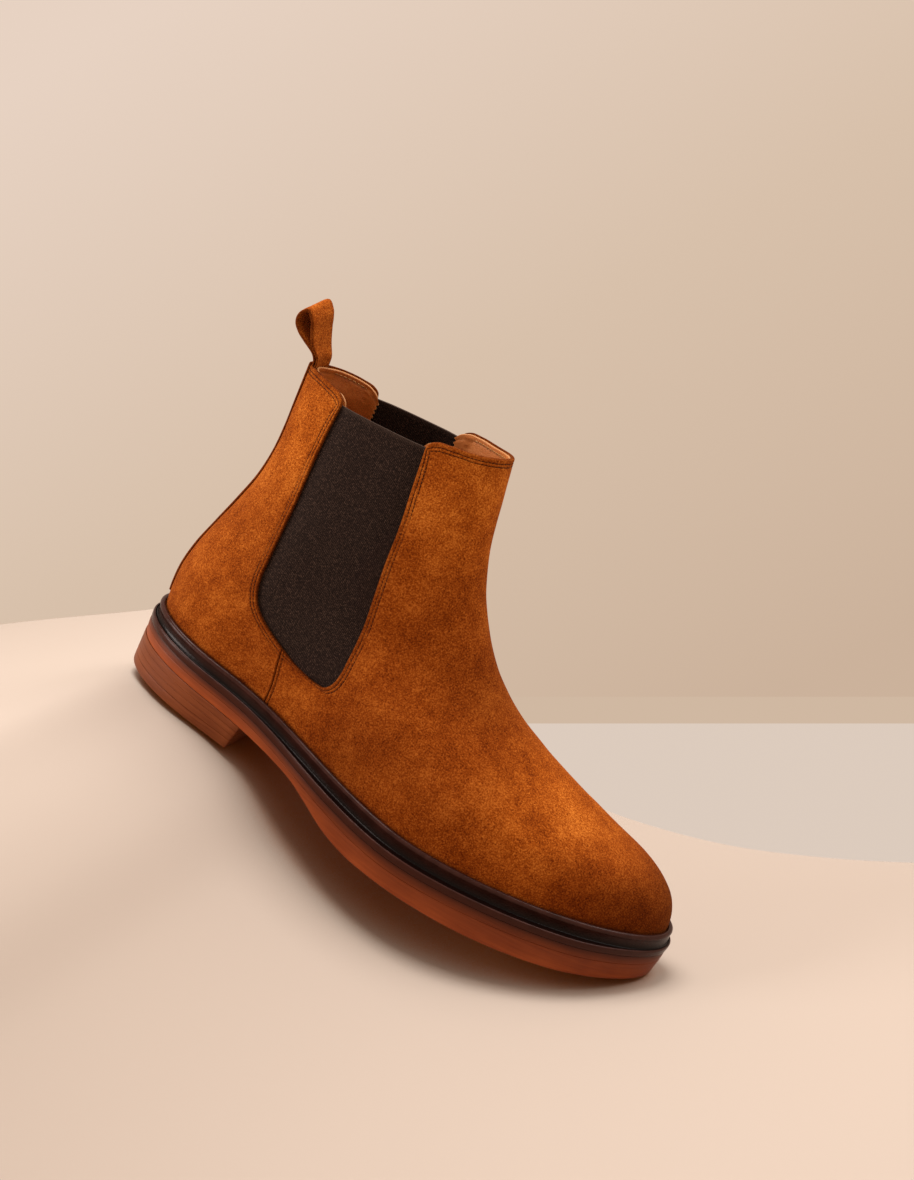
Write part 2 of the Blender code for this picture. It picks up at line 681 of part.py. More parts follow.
def bead_height_v(side, turns, height):
    """v at a height above the upper's foot, at each station."""
    low, high = np.zeros(len(turns)), np.full(len(turns), 0.3)
    foot = outside(side, turns, 0)[:, 2]
    for _ in range(30):
        v = (low + high) / 2
        above = outside(side, turns, v)[:, 2] > foot + height
        low, high = np.where(above, low, v), np.where(above, v, high)
    return (low + high) / 2


def make_welt():
    """A strip all round: under the upper's foot, up into a bead against the upper, then a shelf."""
    reach = welt_offset(SOLE_TURNS)
    section = [(WELT_INSIDE, -WELT_THICKNESS), (WELT_INSIDE, WELT_SEAT), (BEAD_FOOT, WELT_SEAT)]
    section += [("bead", out, BEAD_HEIGHT - UPPER_LIFT + up) for out, up in BEAD_SHAPE]
    section += [GROOVE, (reach - SHELF_EDGE, 0), (reach, -SHELF_DROP), (reach, -WELT_THICKNESS)]
    rings = []
    for corner in section:
        if len(corner) == 3:
            halves = []
            for side, _ in SIDES:
                v = bead_height_v(side, SOLE_TURNS, corner[2])
                halves.append(surface(side, SOLE_TURNS, v, -corner[1]))
            lateral, medial = halves
        else:
            lateral, medial = [np.c_[edge, welt_top(edge[:, 0]) + corner[1]] for edge in
                               plan(SOLE_TURNS, corner[0])]
        rings.append(np.vstack([lateral, medial[::-1][1:-1]]))
    loft_ring("welt", rings, WELT_FINISH)


def loft_ring(name, rings, finish):
    """A closed section carried round a closed outline."""
    count = len(rings[0])
    faces = []
    for row in range(len(rings)):
        here, there = row * count, ((row + 1) % len(rings)) * count
        for k in range(count):
            after = (k + 1) % count
            faces += [(here + k, here + after, there + after), (here + k, there + after, there + k)]
    add_solid(name, np.vstack(rings), faces, finish)


def make_rib():
    """The rib that the welt is sewn to, standing down from the insole."""
    rings = []
    for offset, height in ((RIB_OFFSET, -WELT_THICKNESS), (RIB_OFFSET, RIB_TOP),
                           (RIB_OFFSET - RIB, RIB_TOP), (RIB_OFFSET - RIB, -WELT_THICKNESS)):
        lateral, medial = plan(FOOT_TURNS, offset)
        ring = np.vstack([lateral, medial[::-1][1:-1]])
        rings.append(np.c_[ring, welt_top(ring[:, 0]) + height])
    loft_ring("insole_rib", rings, BOARD_FINISH)


def sock_bottom(x):
    """The sock lies on the heel pad at the back and on the insole further forward."""
    return welt_top(x) + HEEL_PAD_BOTTOM + (HEEL_PAD + GAP) * (1 - ease(x, *SOCK_STEP_X))


def make_insole_stack():
    insole = plan(FOOT_TURNS, -LINING_DEPTH - LINING - INSOLE_INSET)
    slab("insole_board", insole, insole, above_welt(INSOLE_BOTTOM), above_welt(INSOLE_BOTTOM + INSOLE),
         BOARD_FINISH)
    pad = part_plan(FOOT_TURNS, HEEL_PAD_OFFSET, *HEEL_PAD_X)
    slab("heel_pad", pad, pad, above_welt(HEEL_PAD_BOTTOM), above_welt(HEEL_PAD_BOTTOM + HEEL_PAD),
         FOAM_FINISH)
    sock = plan(FOOT_TURNS, -LINING_DEPTH - LINING - SOCK_INSET)
    slab("sock_liner", sock, sock, sock_bottom, lambda x: sock_bottom(x) + SOCK, LINING_FINISH)


def make_shank():
    stations = np.linspace(SHANK_LINE[0][0], SHANK_LINE[-1][0], SHANK_STATIONS)
    middle = pairs(SHANK_LINE)(stations)
    edges = [np.c_[stations, middle + half] for half in (-SHANK_WIDTH / 2, SHANK_WIDTH / 2)]
    slab("shank", edges, edges, above_welt(SHANK_TOP - SHANK), above_welt(SHANK_TOP), STEEL_FINISH)


def make_cork():
    """Fills the well inside the rib, lower where the shank lies over it."""
    edges = part_plan(FOOT_TURNS, WELT_INSIDE - RIB - CORK_GAP, *CORK_X)
    slab("cork_filler", edges, edges, above_welt(-WELT_THICKNESS + CORK_BOTTOM),
         lambda x: welt_top(x) + CORK_TOP + CORK_STEP * ease(x, *CORK_STEP_X), CORK_FINISH)


def make_soles():
    reach = welt_offset(SOLE_TURNS)
    edges = plan(SOLE_TURNS, reach - MIDSOLE_EDGE)
    slab("midsole", edges, edges, midsole_bottom, above_welt(-WELT_THICKNESS - GAP), SOLE_FINISH)
    low, high = [plan(SOLE_TURNS, reach - inset) for inset in OUTSOLE_EDGES]
    return slab("outsole", low, high, tread, lambda x: midsole_bottom(x) - GAP, SOLE_FINISH)


def heel_plan(share):
    """The heel's outline at a height share, from the floor (0) to its seat (1)."""
    breast = BREAST_X - BREAST_LEAN * (1 - share)
    return part_plan(SOLE_TURNS, WELT_HEEL - HEEL_EDGE + HEEL_FLARE * share, -BREAST_X, breast)


def make_heel():
    """The top piece, then the lifts, which wedge up to the outsole."""
    plans = [heel_plan(share) for share in np.linspace(TOP_PIECE_SHARE, 1, LIFTS + 1)]
    slab("heel_top_piece", heel_plan(0), plans[0], lambda x: 0 * x,
         lambda x: 0 * x + TOP_PIECE - GAP, SOLE_FINISH)
    lifts = []
    for k in range(LIFTS):
        above, gap = heel_level((k + 1) / LIFTS), GAP if k + 1 < LIFTS else 0
        lifts.append(slab(f"heel_lift_{k + 1}", plans[k], plans[k + 1], heel_level(k / LIFTS),
                          lambda x, above=above, gap=gap: above(x) - gap, SOLE_FINISH))
    return lifts


def cylinder(name, radius, x, y, bottom, top, collection):
    """A round pin standing on the last's z, as a mesh object."""
    shape = bmesh.new()
    bmesh.ops.create_cone(shape, cap_ends=True, segments=NAIL_SIDES, radius1=radius * MM, radius2=radius * MM,
                          depth=(top - bottom) * MM)
    mesh = bpy.data.meshes.new(name)
    shape.to_mesh(mesh)
    shape.free()
    made = bpy.data.objects.new(name, mesh)
    made.location = place((x, y, (top + bottom) / 2))
    collection.objects.link(made)
    return made


def make_nails(pierced):
    """Nails that hold the heel to the outsole, each in its own hole."""
    for number, (x, y) in enumerate(NAIL_SPOTS, 1):
        foot, head = TOP_PIECE + NAIL_GAP, float(midsole_bottom(x)) - GAP - NAIL_HEAD_DEPTH
        nail = cylinder(f"heel_nail_{number}", NAIL_RADIUS, x, y, foot, head, boot)
        nail.data.materials.append(material(nail.name, *STEEL_FINISH))
        hole = cylinder(f"nail_hole_{number}", NAIL_HOLE_RADIUS, x, y, foot - TOP_PIECE / 2, head + GAP,
                        cutters)
        hole.hide_render = True
        hole.display_type = "WIRE"
        for piece in pierced:
            cut = piece.modifiers.new(hole.name, "BOOLEAN")
            cut.operation = "DIFFERENCE"
            cut.object = hole


def clear_scene():
    for thing in list(bpy.data.objects):
        bpy.data.objects.remove(thing)


clear_scene()
boot = bpy.data.collections.new("chelsea_boot")
cutters = bpy.data.collections.new("cutters")
bpy.context.scene.collection.children.link(boot)
bpy.context.scene.collection.children.link(cutters)

make_suede()
make_back_strip()
make_linings()
make_stiffeners()
for boot_side, side_word in SIDES:
    make_gore(boot_side, side_word)
make_pull_loop()
make_welt()
make_rib()
make_insole_stack()
make_shank()
make_cork()
outsole = make_soles()
make_nails([outsole] + make_heel())
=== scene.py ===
"""Looks of a tan suede chelsea boot, right foot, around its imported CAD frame.

Shapes are worked out in millimetres on the last: x from the back of the heel to the toe, y to the
medial side, z up. place() turns them into metres in the boot's frame.
"""

import bpy
import numpy as np
from mathutils import Matrix


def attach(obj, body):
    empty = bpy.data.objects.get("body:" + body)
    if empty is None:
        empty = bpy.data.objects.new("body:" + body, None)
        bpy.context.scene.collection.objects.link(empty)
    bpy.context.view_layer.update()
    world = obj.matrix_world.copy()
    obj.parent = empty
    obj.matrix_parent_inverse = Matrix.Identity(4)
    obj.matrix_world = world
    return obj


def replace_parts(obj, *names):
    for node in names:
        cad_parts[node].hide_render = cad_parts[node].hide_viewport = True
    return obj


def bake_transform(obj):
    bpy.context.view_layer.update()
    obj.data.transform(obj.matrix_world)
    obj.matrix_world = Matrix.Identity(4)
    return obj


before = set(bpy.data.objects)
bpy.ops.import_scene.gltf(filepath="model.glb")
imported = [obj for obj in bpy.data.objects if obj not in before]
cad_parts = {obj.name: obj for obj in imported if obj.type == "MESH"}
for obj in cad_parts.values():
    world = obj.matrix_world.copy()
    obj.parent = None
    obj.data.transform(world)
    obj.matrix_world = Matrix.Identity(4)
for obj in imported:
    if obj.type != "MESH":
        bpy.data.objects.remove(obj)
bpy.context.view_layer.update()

# ---- sizes, as in the CAD

MM = 0.001
BOX_CENTRE = (152.65, -3.06, 0)
SUEDE, LINING, GORE = 1.8, 1.1, 1.2
GORE_DEPTH = 1.9
BACK_STRIP, STRIP_HALF = 1.1, 5.0
WELT, WELT_HEEL, WELT_BALL, WELT_TOE = 3.5, 5.2, 3.0, -3.2
BEAD_HEIGHT, UPPER_LIFT = 7.0, 1.0
MIDSOLE_HEEL, MIDSOLE_BALL = 3.0, 4.5
TOP_PIECE, LIFTS, BREAST_X, BREAST_LEAN = 5.2, 3, 79.0, 2.5
BEND_HEIGHT, BEND_REACH = 94.0, 26.0
LOOP_WIDTH = 19.0

BACK_LINE = ((5.2, 34), (3.9, 40), (2.9, 48), (2.7, 57), (4.6, 70), (9.2, 86), (14.3, 103),
             (18.4, 119), (19.9, 134), (19.5, 147), (18.3, 160), (16.6, 179.4))
FRONT_LINE = ((300.3, 30), (300, 35), (298.2, 42), (294.3, 49), (287, 55), (277, 59.2), (266, 62),
              (250, 65.7), (232, 70.3), (214, 75.5), (197, 81.8), (182, 89.3), (168.5, 99),
              (156.5, 111.5), (148, 123), (142, 134.5), (137.3, 146), (133.8, 158), (131, 170),
              (128, 182), (125.8, 191.8))
WELT_TOP = ((-10, 29.6), (0, 29.3), (37, 28), (78, 26.3), (118, 21.3), (155, 17.8), (190, 17.4),
            (232, 20), (273, 23.5), (312, 27))
TREAD = ((-10, 17.6), (0, 17.3), (78, 14.3), (100, 12.7), (118, 10.5), (130, 6.9), (143, 2.6),
         (158, 0.3), (172, 0), (216, 0), (245, 1.8), (280, 5.5), (312, 9.6))
WIDTH_X = (5, 60, 100, 140, 175, 205, 250, 300)
WIDTH_V = (0, 0.15, 0.3, 0.5, 0.7, 0.85, 1)
SHAFT_WIDTHS = ((31, 33, 35, 37.5, 40, 42, 42, 42), (29, 30, 31, 32, 33, 33, 33, 33),
                (26.5, 27, 28, 28.5, 28.5, 28.5, 28.5, 28.5),
                (24, 24.3, 25.3, 25.5, 25.5, 25.5, 25.5, 25.5))
LATERAL_WIDTHS = ((28.5, 29, 33, 42, 48.3, 48.5, 48.5, 48.5),
                  (30.5, 32, 35.5, 43, 48.5, 49, 48.5, 47),
                  (31, 33.5, 36.5, 42, 46.5, 47.5, 46, 45)) + SHAFT_WIDTHS
MEDIAL_WIDTHS = ((28.5, 28.5, 26.5, 30.5, 38, 42, 42, 42),
                 (30.5, 31.5, 30.5, 34, 40, 43, 42.5, 41),
                 (31, 33, 34, 36.5, 40, 42, 41, 40)) + SHAFT_WIDTHS
ROUND_BACK = 51.0
ROUND_SHAFT = ((0.5, 150), (0.6, 112), (0.7, 78), (0.85, 58), (1, 50))
ROUND_LATERAL = ((0, 135), (0.15, 128), (0.3, 135)) + ROUND_SHAFT
ROUND_MEDIAL = ((0, 110), (0.15, 112), (0.3, 130)) + ROUND_SHAFT
TOE_TURN_X, TOE_TURN = 186.0, 0.001
GORE_REAR = ((46.2, 175.2), (46.6, 160), (47.8, 142), (49.6, 126), (50.9, 110), (52.2, 94))
GORE_REAR_FOOT = ((52.2, 94), (52.8, 86), (54.4, 79), (58, 72.4), (64, 67.6), (71, 64.2), (79.5, 61))
GORE_FRONT_FOOT = ((79.5, 61), (87, 58.8), (95, 57.5), (102, 57.1), (107, 58.2), (110, 62.5),
                   (111.3, 69), (110.9, 77), (109.8, 86), (108.6, 94))
GORE_FRONT = ((108.6, 94), (105.8, 108), (102.8, 124), (100.2, 142), (96.6, 160), (92.6, 181))
TOPLINE_REAR = ((46.2, 175.2), (45.3, 177.8), (42.6, 179.6), (37, 180.4), (28, 180.5), (16.6, 179.4))
TOPLINE_FRONT = ((92.6, 181), (93.4, 183.6), (96.2, 185.8), (102, 187.2), (113, 188.8), (125.8, 191.8))
SEAM_X = 82.5
LATERAL, MEDIAL = -1, 1
SIDES = ((LATERAL, "lateral"), (MEDIAL, "medial"))

# Fineness of the meshes: distance between columns and between rows.
STEP = 2.2
# Distances from a cut edge at which a panel has rows, to round the edge and sink the stitches.
EDGE_ROWS = (0, 0.12, 0.35, 0.7, 1.1, 1.5, 1.9, 2.3, 2.8, 3.2, 3.6, 4.0, 4.6, 5.6)
STITCH_ROWS = (1.9, 3.6)
TOPLINE_SHIFT = 0.4
STITCH_PITCH, STITCH_LENGTH, STITCH_RADIUS = 1.75, 1.4, 0.24
# A stitch's rings: their places in shares of its length, and their sizes in shares of its radius.
STITCH_SHAPE = ((-0.5, 0.35), (-0.3, 0.9), (0.3, 0.9), (0.5, 0.35))
TOPLINE_FADE = 40
SEAM_STITCH, STRIP_STITCH, LINING_STITCH, STITCH_DEPTH = 1.9, 1.6, 2.7, 0.28
LINING_STEP = 0.8
LINING_ROWS = (0, 0.3, 0.6, 1.0, 1.6, 2.2, 2.7, 3.2, 4.2)
PINKING, LINING_LOWER = 2.4, 0.7
BACK_GAP, STRIP_FOOT = 0.006, 0.065
GORE_LOW, GORE_TOPS, GORE_MARGIN = 52.0, (174.7, 181.5), 6.0


# ---- curves


def hermite(fraction, step, start, end, start_slope, end_slope):
    rest = 1 - fraction
    ends = start * (1 + 2 * fraction) * rest**2 + end * fraction**2 * (3 - 2 * fraction)
    return ends + step * (start_slope * fraction * rest**2 - end_slope * fraction**2 * rest)


def curve(inputs, values):
    """A smooth curve through values at rising inputs, as a function of the input."""
    inputs, values = np.asarray(inputs, float), np.asarray(values, float)
    slopes = np.gradient(values, inputs, axis=0)

    def at(query):
        query = np.clip(np.asarray(query, float), inputs[0], inputs[-1])
        k = np.clip(np.searchsorted(inputs, query, side="right") - 1, 0, len(inputs) - 2)
        step = inputs[k + 1] - inputs[k]
        fraction = (query - inputs[k]) / step
        if values.ndim > 1:
            step, fraction = step[..., None], fraction[..., None]
        return hermite(fraction, step, values[k], values[k + 1], slopes[k], slopes[k + 1])

    return at


def pairs(points):
    return curve(*zip(*points))


def run_of(points):
    """Length along a line of points, from its start."""
    return np.r_[0, np.cumsum(np.linalg.norm(np.diff(np.asarray(points, float), axis=0), axis=1))]


def path(points):
    """A smooth path through points, as a function of the share of its length."""
    run = run_of(points)
    return curve(run / run[-1], points)


def ease(value, start, end):
    share = np.clip((value - start) / (end - start), 0, 1)
    return share * share * (3 - 2 * share)


def noise(points, cell, seed=0):
    """Smooth noise from 0 to 1 with bumps about a cell across."""
    grid = np.asarray(points, float) / cell + 100
    low = np.floor(grid).astype(np.int64)
    share = grid - low
    share = share * share * (3 - 2 * share)
    total = 0
    for corner in np.ndindex(2, 2, 2):
        x, y, z = np.moveaxis(low + corner, -1, 0)
        mixed = (x * 73856093 ^ y * 19349663 ^ z * 83492791 ^ seed * 2654435761) & 0xFFFFFFFF
        mixed = (mixed ^ mixed >> 15) * 2246822519 & 0xFFFFFFFF
        mixed = (mixed ^ mixed >> 13) * 3266489917 & 0xFFFFFFFF
        weight = np.prod(np.where(np.array(corner) == 1, share, 1 - share), axis=-1)
        total = total + weight * ((mixed ^ mixed >> 16) & 0xFFFF) / 65535
    return total


back_line, front_line = path(BACK_LINE), path(FRONT_LINE)
welt_top, tread = pairs(WELT_TOP), pairs(TREAD)
rounding = {LATERAL: pairs(ROUND_LATERAL), MEDIAL: pairs(ROUND_MEDIAL)}


# ---- the last's surface


def width_table(rows):
    along = [curve(WIDTH_X, row) for row in rows]
    heights = np.asarray(WIDTH_V, float)

    def at(v, x):
        grid = np.stack([one(x) for one in along], -1)
        slopes = np.gradient(grid, heights, axis=-1)
        k = np.clip(np.searchsorted(heights, v, side="right") - 1, 0, len(heights) - 2)
        step = heights[k + 1] - heights[k]

        def pick(table, index):
            return np.take_along_axis(table, index[..., None], -1)[..., 0]

        return hermite((v - heights[k]) / step, step, pick(grid, k), pick(grid, k + 1),
                       pick(slopes, k), pick(slopes, k + 1))

    return at


half_width = {LATERAL: width_table(LATERAL_WIDTHS), MEDIAL: width_table(MEDIAL_WIDTHS)}


def side_view(turn, v):
    """x and z of the surface. turn runs 0 to pi from the back to the front, v 0 to 1 upwards."""
    share = (1 - np.cos(turn)) / 2
    back, front = back_line(v), front_line(v)
    (x, z), (foot_x, foot_z) = (
        [low[..., k] * (1 - share) + high[..., k] * share for k in (0, 1)]
        for low, high in ((back, front), (np.array(BACK_LINE[0]), np.array(FRONT_LINE[0]))))
    drop = welt_top(foot_x) + UPPER_LIFT - foot_z
    return x, z + drop * (1 - v) ** 2.2, share, front[..., 0] - back[..., 0]


def outside(side, turn, v):
    turn, v = np.broadcast_arrays(np.asarray(turn, float), np.asarray(v, float))
    x, z, share, length = side_view(turn, v)
    near_back = np.clip(share * length / ROUND_BACK, 0, 1)
    near_front = np.clip((1 - share) * length / rounding[side](v), 0, 1)
    rounded = np.sqrt(1 - (1 - near_back) ** 2) * np.sqrt(1 - (1 - near_front) ** 2)
    middle = TOE_TURN * np.clip(x - TOE_TURN_X, 0, None) ** 2
    return np.stack([x, middle + side * half_width[side](v, x) * rounded, z], -1)


def normals(side, turn, v):
    nudge = 1e-3
    turn, v = np.broadcast_arrays(np.asarray(turn, float), np.asarray(v, float))
    along = (outside(side, np.minimum(turn + nudge, np.pi), v)
             - outside(side, np.maximum(turn - nudge, 0), v))
    up = (outside(side, turn, np.minimum(v + nudge, 1))
          - outside(side, turn, np.maximum(v - nudge, 0)))
    normal = -side * np.cross(along, up)
    return normal / np.linalg.norm(normal, axis=-1, keepdims=True)


def base_of(side, grid):
    """Points of the upper's outside at a grid of turn and v."""
    return outside(side, grid[..., 0], grid[..., 1])


def surface(side, grid, depth):
    """Points of the upper at a grid of turn and v, a depth in from its outside."""
    depth = np.broadcast_to(depth, grid.shape[:-1])
    return base_of(side, grid) - depth[..., None] * normals(side, grid[..., 0], grid[..., 1])


def locate(points):
    """turn and v of side-view points, found by halving."""
    x, z = np.asarray(points, float).T
    low, high = np.zeros(len(x)), np.ones(len(x))
    for _ in range(30):
        v = (low + high) / 2
        back, front = back_line(v)[:, 0], front_line(v)[:, 0]
        turn = np.arccos(1 - 2 * np.clip((x - back) / (front - back), 0, 1))
        above = side_view(turn, v)[1] > z
        high, low = np.where(above, v, high), np.where(above, low, v)
    return np.stack([turn, v], -1)


# ---- meshes


def place(points):
    """Metres in the boot's frame from millimetres on the last."""
    return (np.asarray(points, float) - BOX_CENTRE) * MM


def make_object(name, points, faces, finish, facts=None, crisp=False):
    """A mesh object, with a number for each point under each fact's name."""
    mesh = bpy.data.meshes.new(name)
    faces = [[int(corner) for corner in face] for face in faces]
    mesh.from_pydata(place(points).tolist(), [], faces)
    mesh.attributes.new("rest", "FLOAT_VECTOR", "POINT").data.foreach_set(
        "vector", np.float32(np.asarray(points, float).reshape(-1)))
    for key, values in (facts or {}).items():
        mesh.attributes.new(key, "FLOAT", "POINT").data.foreach_set("value", np.float32(values))
    mesh.shade_smooth()
    if crisp:
        mesh.set_sharp_from_angle(angle=np.radians(38))
    mesh.materials.append(finish)
    made = bpy.data.objects.new(name, mesh)
    bpy.context.scene.collection.objects.link(made)
    return made


def grid_faces(numbers):
    """Quads of a grid of point numbers."""
    corners = [numbers[:-1, :-1], numbers[1:, :-1], numbers[1:, 1:], numbers[:-1, 1:]]
    return np.stack(corners, -1).reshape(-1, 4)


def wall(name, sheets, finish, facts, crisp=False):
    """A closed wall from sheets of (outer grid, inner grid, keys, facts). Sheets join where keys match."""
    outer = np.concatenate([sheet[0].reshape(-1, 3) for sheet in sheets])
    inner = np.concatenate([sheet[1].reshape(-1, 3) for sheet in sheets])
    keys = np.round(np.concatenate([sheet[2].reshape(-1, 3) for sheet in sheets]), 6)
    _, first, index = np.unique(keys, axis=0, return_index=True, return_inverse=True)
    index = index.reshape(-1)
    faces, start = [], 0
    for sheet in sheets:
        quads = grid_faces(np.arange(start, start + sheet[0][..., 0].size).reshape(sheet[0].shape[:2]))
        a, b, c, _ = outer[quads].transpose(1, 0, 2)
        facing = (np.cross(b - a, c - a) * (outer - inner)[quads[:, 0]]).sum()
        faces.append(index[quads if facing > 0 else quads[:, ::-1]])
        start += sheet[0][..., 0].size
    faces = np.concatenate(faces)
    count = len(first)
    ends = np.concatenate([faces[:, [k, (k + 1) % 4]] for k in range(4)])
    _, where, uses = np.unique(np.sort(ends, axis=1), axis=0, return_index=True, return_counts=True)
    rim = ends[where[uses == 1]]
    rim = np.stack([rim[:, 1], rim[:, 0], rim[:, 0] + count, rim[:, 1] + count], -1)
    solid = np.concatenate([faces, faces[:, ::-1] + count, rim])
    values = {}
    for number, key in enumerate(facts):
        flat = np.concatenate([np.broadcast_to(sheet[3][number], sheet[0].shape[:2]).reshape(-1)
                               for sheet in sheets])[first]
        values[key] = np.r_[flat, flat]
    return make_object(name, np.concatenate([outer[first], inner[first]]), solid, finish, values, crisp)


def sheet_at(side, grid, outer, inner, *facts):
    """A sheet for wall, from its outer and inner depths. The two sides' sheets meet at the middle."""
    owner = np.where((grid[..., 0] < 1e-9) | (grid[..., 0] > np.pi - 1e-9), 0, side)
    keys = np.concatenate([owner[..., None], grid], -1)
    return surface(side, grid, outer), surface(side, grid, inner), keys, facts


# ---- panels


def edge_steps(length, step, rows, low=True, high=False):
    """Shares of a length, a step apart, with closer rows at the ends that are cut edges."""
    close = np.array(rows) / length
    start = close if low else np.array([0.0])
    end = 1 - close[::-1] if high else np.array([1.0])
    count = max(2, round((end[0] - start[-1]) * length / step))
    return np.concatenate([start, np.linspace(start[-1], end[0], count + 1)[1:-1], end])


def joined(legs):
    """One line from lines of points that follow each other."""
    return np.concatenate([legs[0]] + [leg[1:] for leg in legs[1:]])


def through(corners, shares):
    """Points from corner to corner, at shares of each straight line between them."""
    corners = np.asarray(corners, float)
    return joined([low + (high - low) * share[:, None]
                   for low, high, share in zip(corners, corners[1:], shares)])


SEAM_TURN = np.arccos(1 - 2 * (SEAM_X - BACK_LINE[0][0]) / (FRONT_LINE[0][0] - BACK_LINE[0][0]))


def rear_edges(step, rows):
    """turn and v down the gore's rear edge to its foot, and along the far edge: back, feather, seam."""
    bend_v = locate([(back_line(0.4)[0], BEND_HEIGHT)])[0, 1]
    shaft = edge_steps(85, step, rows)
    back, side = np.linspace(0, 1, round(58 / step)), edge_steps(88, step, rows, False, True)
    corner = len(back) / (len(back) + len(side))
    foot = np.r_[back * corner, corner + side[1:] * (1 - corner)]
    near = joined([path(GORE_REAR)(shaft), path(GORE_REAR_FOOT)(foot)])
    return locate(near), through(((0, 1), (0, bend_v), (0, 0), (SEAM_TURN, 0)), (shaft, back, side))


def front_edges(step, rows):
    """turn and v from the gore's foot up its front edge, and along the far edge: seam, toe, instep."""
    instep_v = locate([(FRONT_LINE[11][0] - 0.01, FRONT_LINE[11][1])])[0, 1]
    forefoot, instep = edge_steps(240, step, rows), np.linspace(0, 1, round(150 / step))
    shaft = 1 - edge_steps(100, step, rows)[::-1]
    corner = 0.6
    foot = np.r_[forefoot * corner, corner + instep[1:] * (1 - corner)]
    near = joined([path(GORE_FRONT_FOOT)(foot), path(GORE_FRONT)(shaft)])
    corners = ((SEAM_TURN, 0), (np.pi, 0), (np.pi, instep_v), (np.pi, 1))
    return locate(near), through(corners, (forefoot, instep, shaft))


def panel(edges, topline, top, step, rows, shift=0):
    """A panel's grid of turn and v, with rows out from the gore, and its topline's curve at its top.

    shift moves the edge at the gore out, by a distance for each column.
    """
    near, far = edges
    start, end = (base_of(LATERAL, edge) for edge in edges)
    lengths = np.linalg.norm(end - start, axis=1)[:, None]
    close = np.minimum(np.array(rows) / lengths, np.linspace(0, 0.3, len(rows)))
    count = round(np.percentile(lengths, 70) / step)
    rest = close[:, -1:] + (1 - close[:, -1:]) * np.linspace(0, 1, count + 1)[1:]
    shares = np.concatenate([close, rest], 1)
    run = run_of(start)
    run = run if top == 0 else run[-1] - run
    grid = near[:, None] + (far - near)[:, None] * shares[..., None]
    bulge = locate(path(topline)(shares[top])) - grid[top]
    fade = np.clip(1 - run / TOPLINE_FADE, 0, 1) ** 2
    grid = grid + fade[:, None, None] * bulge
    grid = grid + (far - near)[:, None] * (shift / lengths * (1 - shares) ** 8)[..., None]
    grid[:, -1] = far
    return np.clip(grid, 0, (np.pi, 1))


def distances(grid, top):
    """Distances over the surface from the gore's edge, from the topline and from the seam."""
    points = base_of(LATERAL, grid)
    across = np.linalg.norm(np.diff(points, axis=1), axis=-1)
    down = np.linalg.norm(np.diff(points, axis=0), axis=-1)
    from_gore = np.pad(np.cumsum(across, axis=1), ((0, 0), (1, 0)))
    from_first = np.pad(np.cumsum(down, axis=0), ((1, 0), (0, 0)))
    from_last = np.pad(np.cumsum(down[::-1], axis=0)[::-1], ((0, 1), (0, 0)))
    return (from_gore, from_first, from_last) if top == 0 else (from_gore, from_last, from_first)


REAR_EDGES, FRONT_EDGES = rear_edges(STEP, EDGE_ROWS), front_edges(STEP, EDGE_ROWS)
QUARTER = panel(REAR_EDGES, TOPLINE_REAR, 0, STEP, EDGE_ROWS)
VAMP = panel(FRONT_EDGES, TOPLINE_FRONT, -1, STEP, EDGE_ROWS)


# ---- finishes


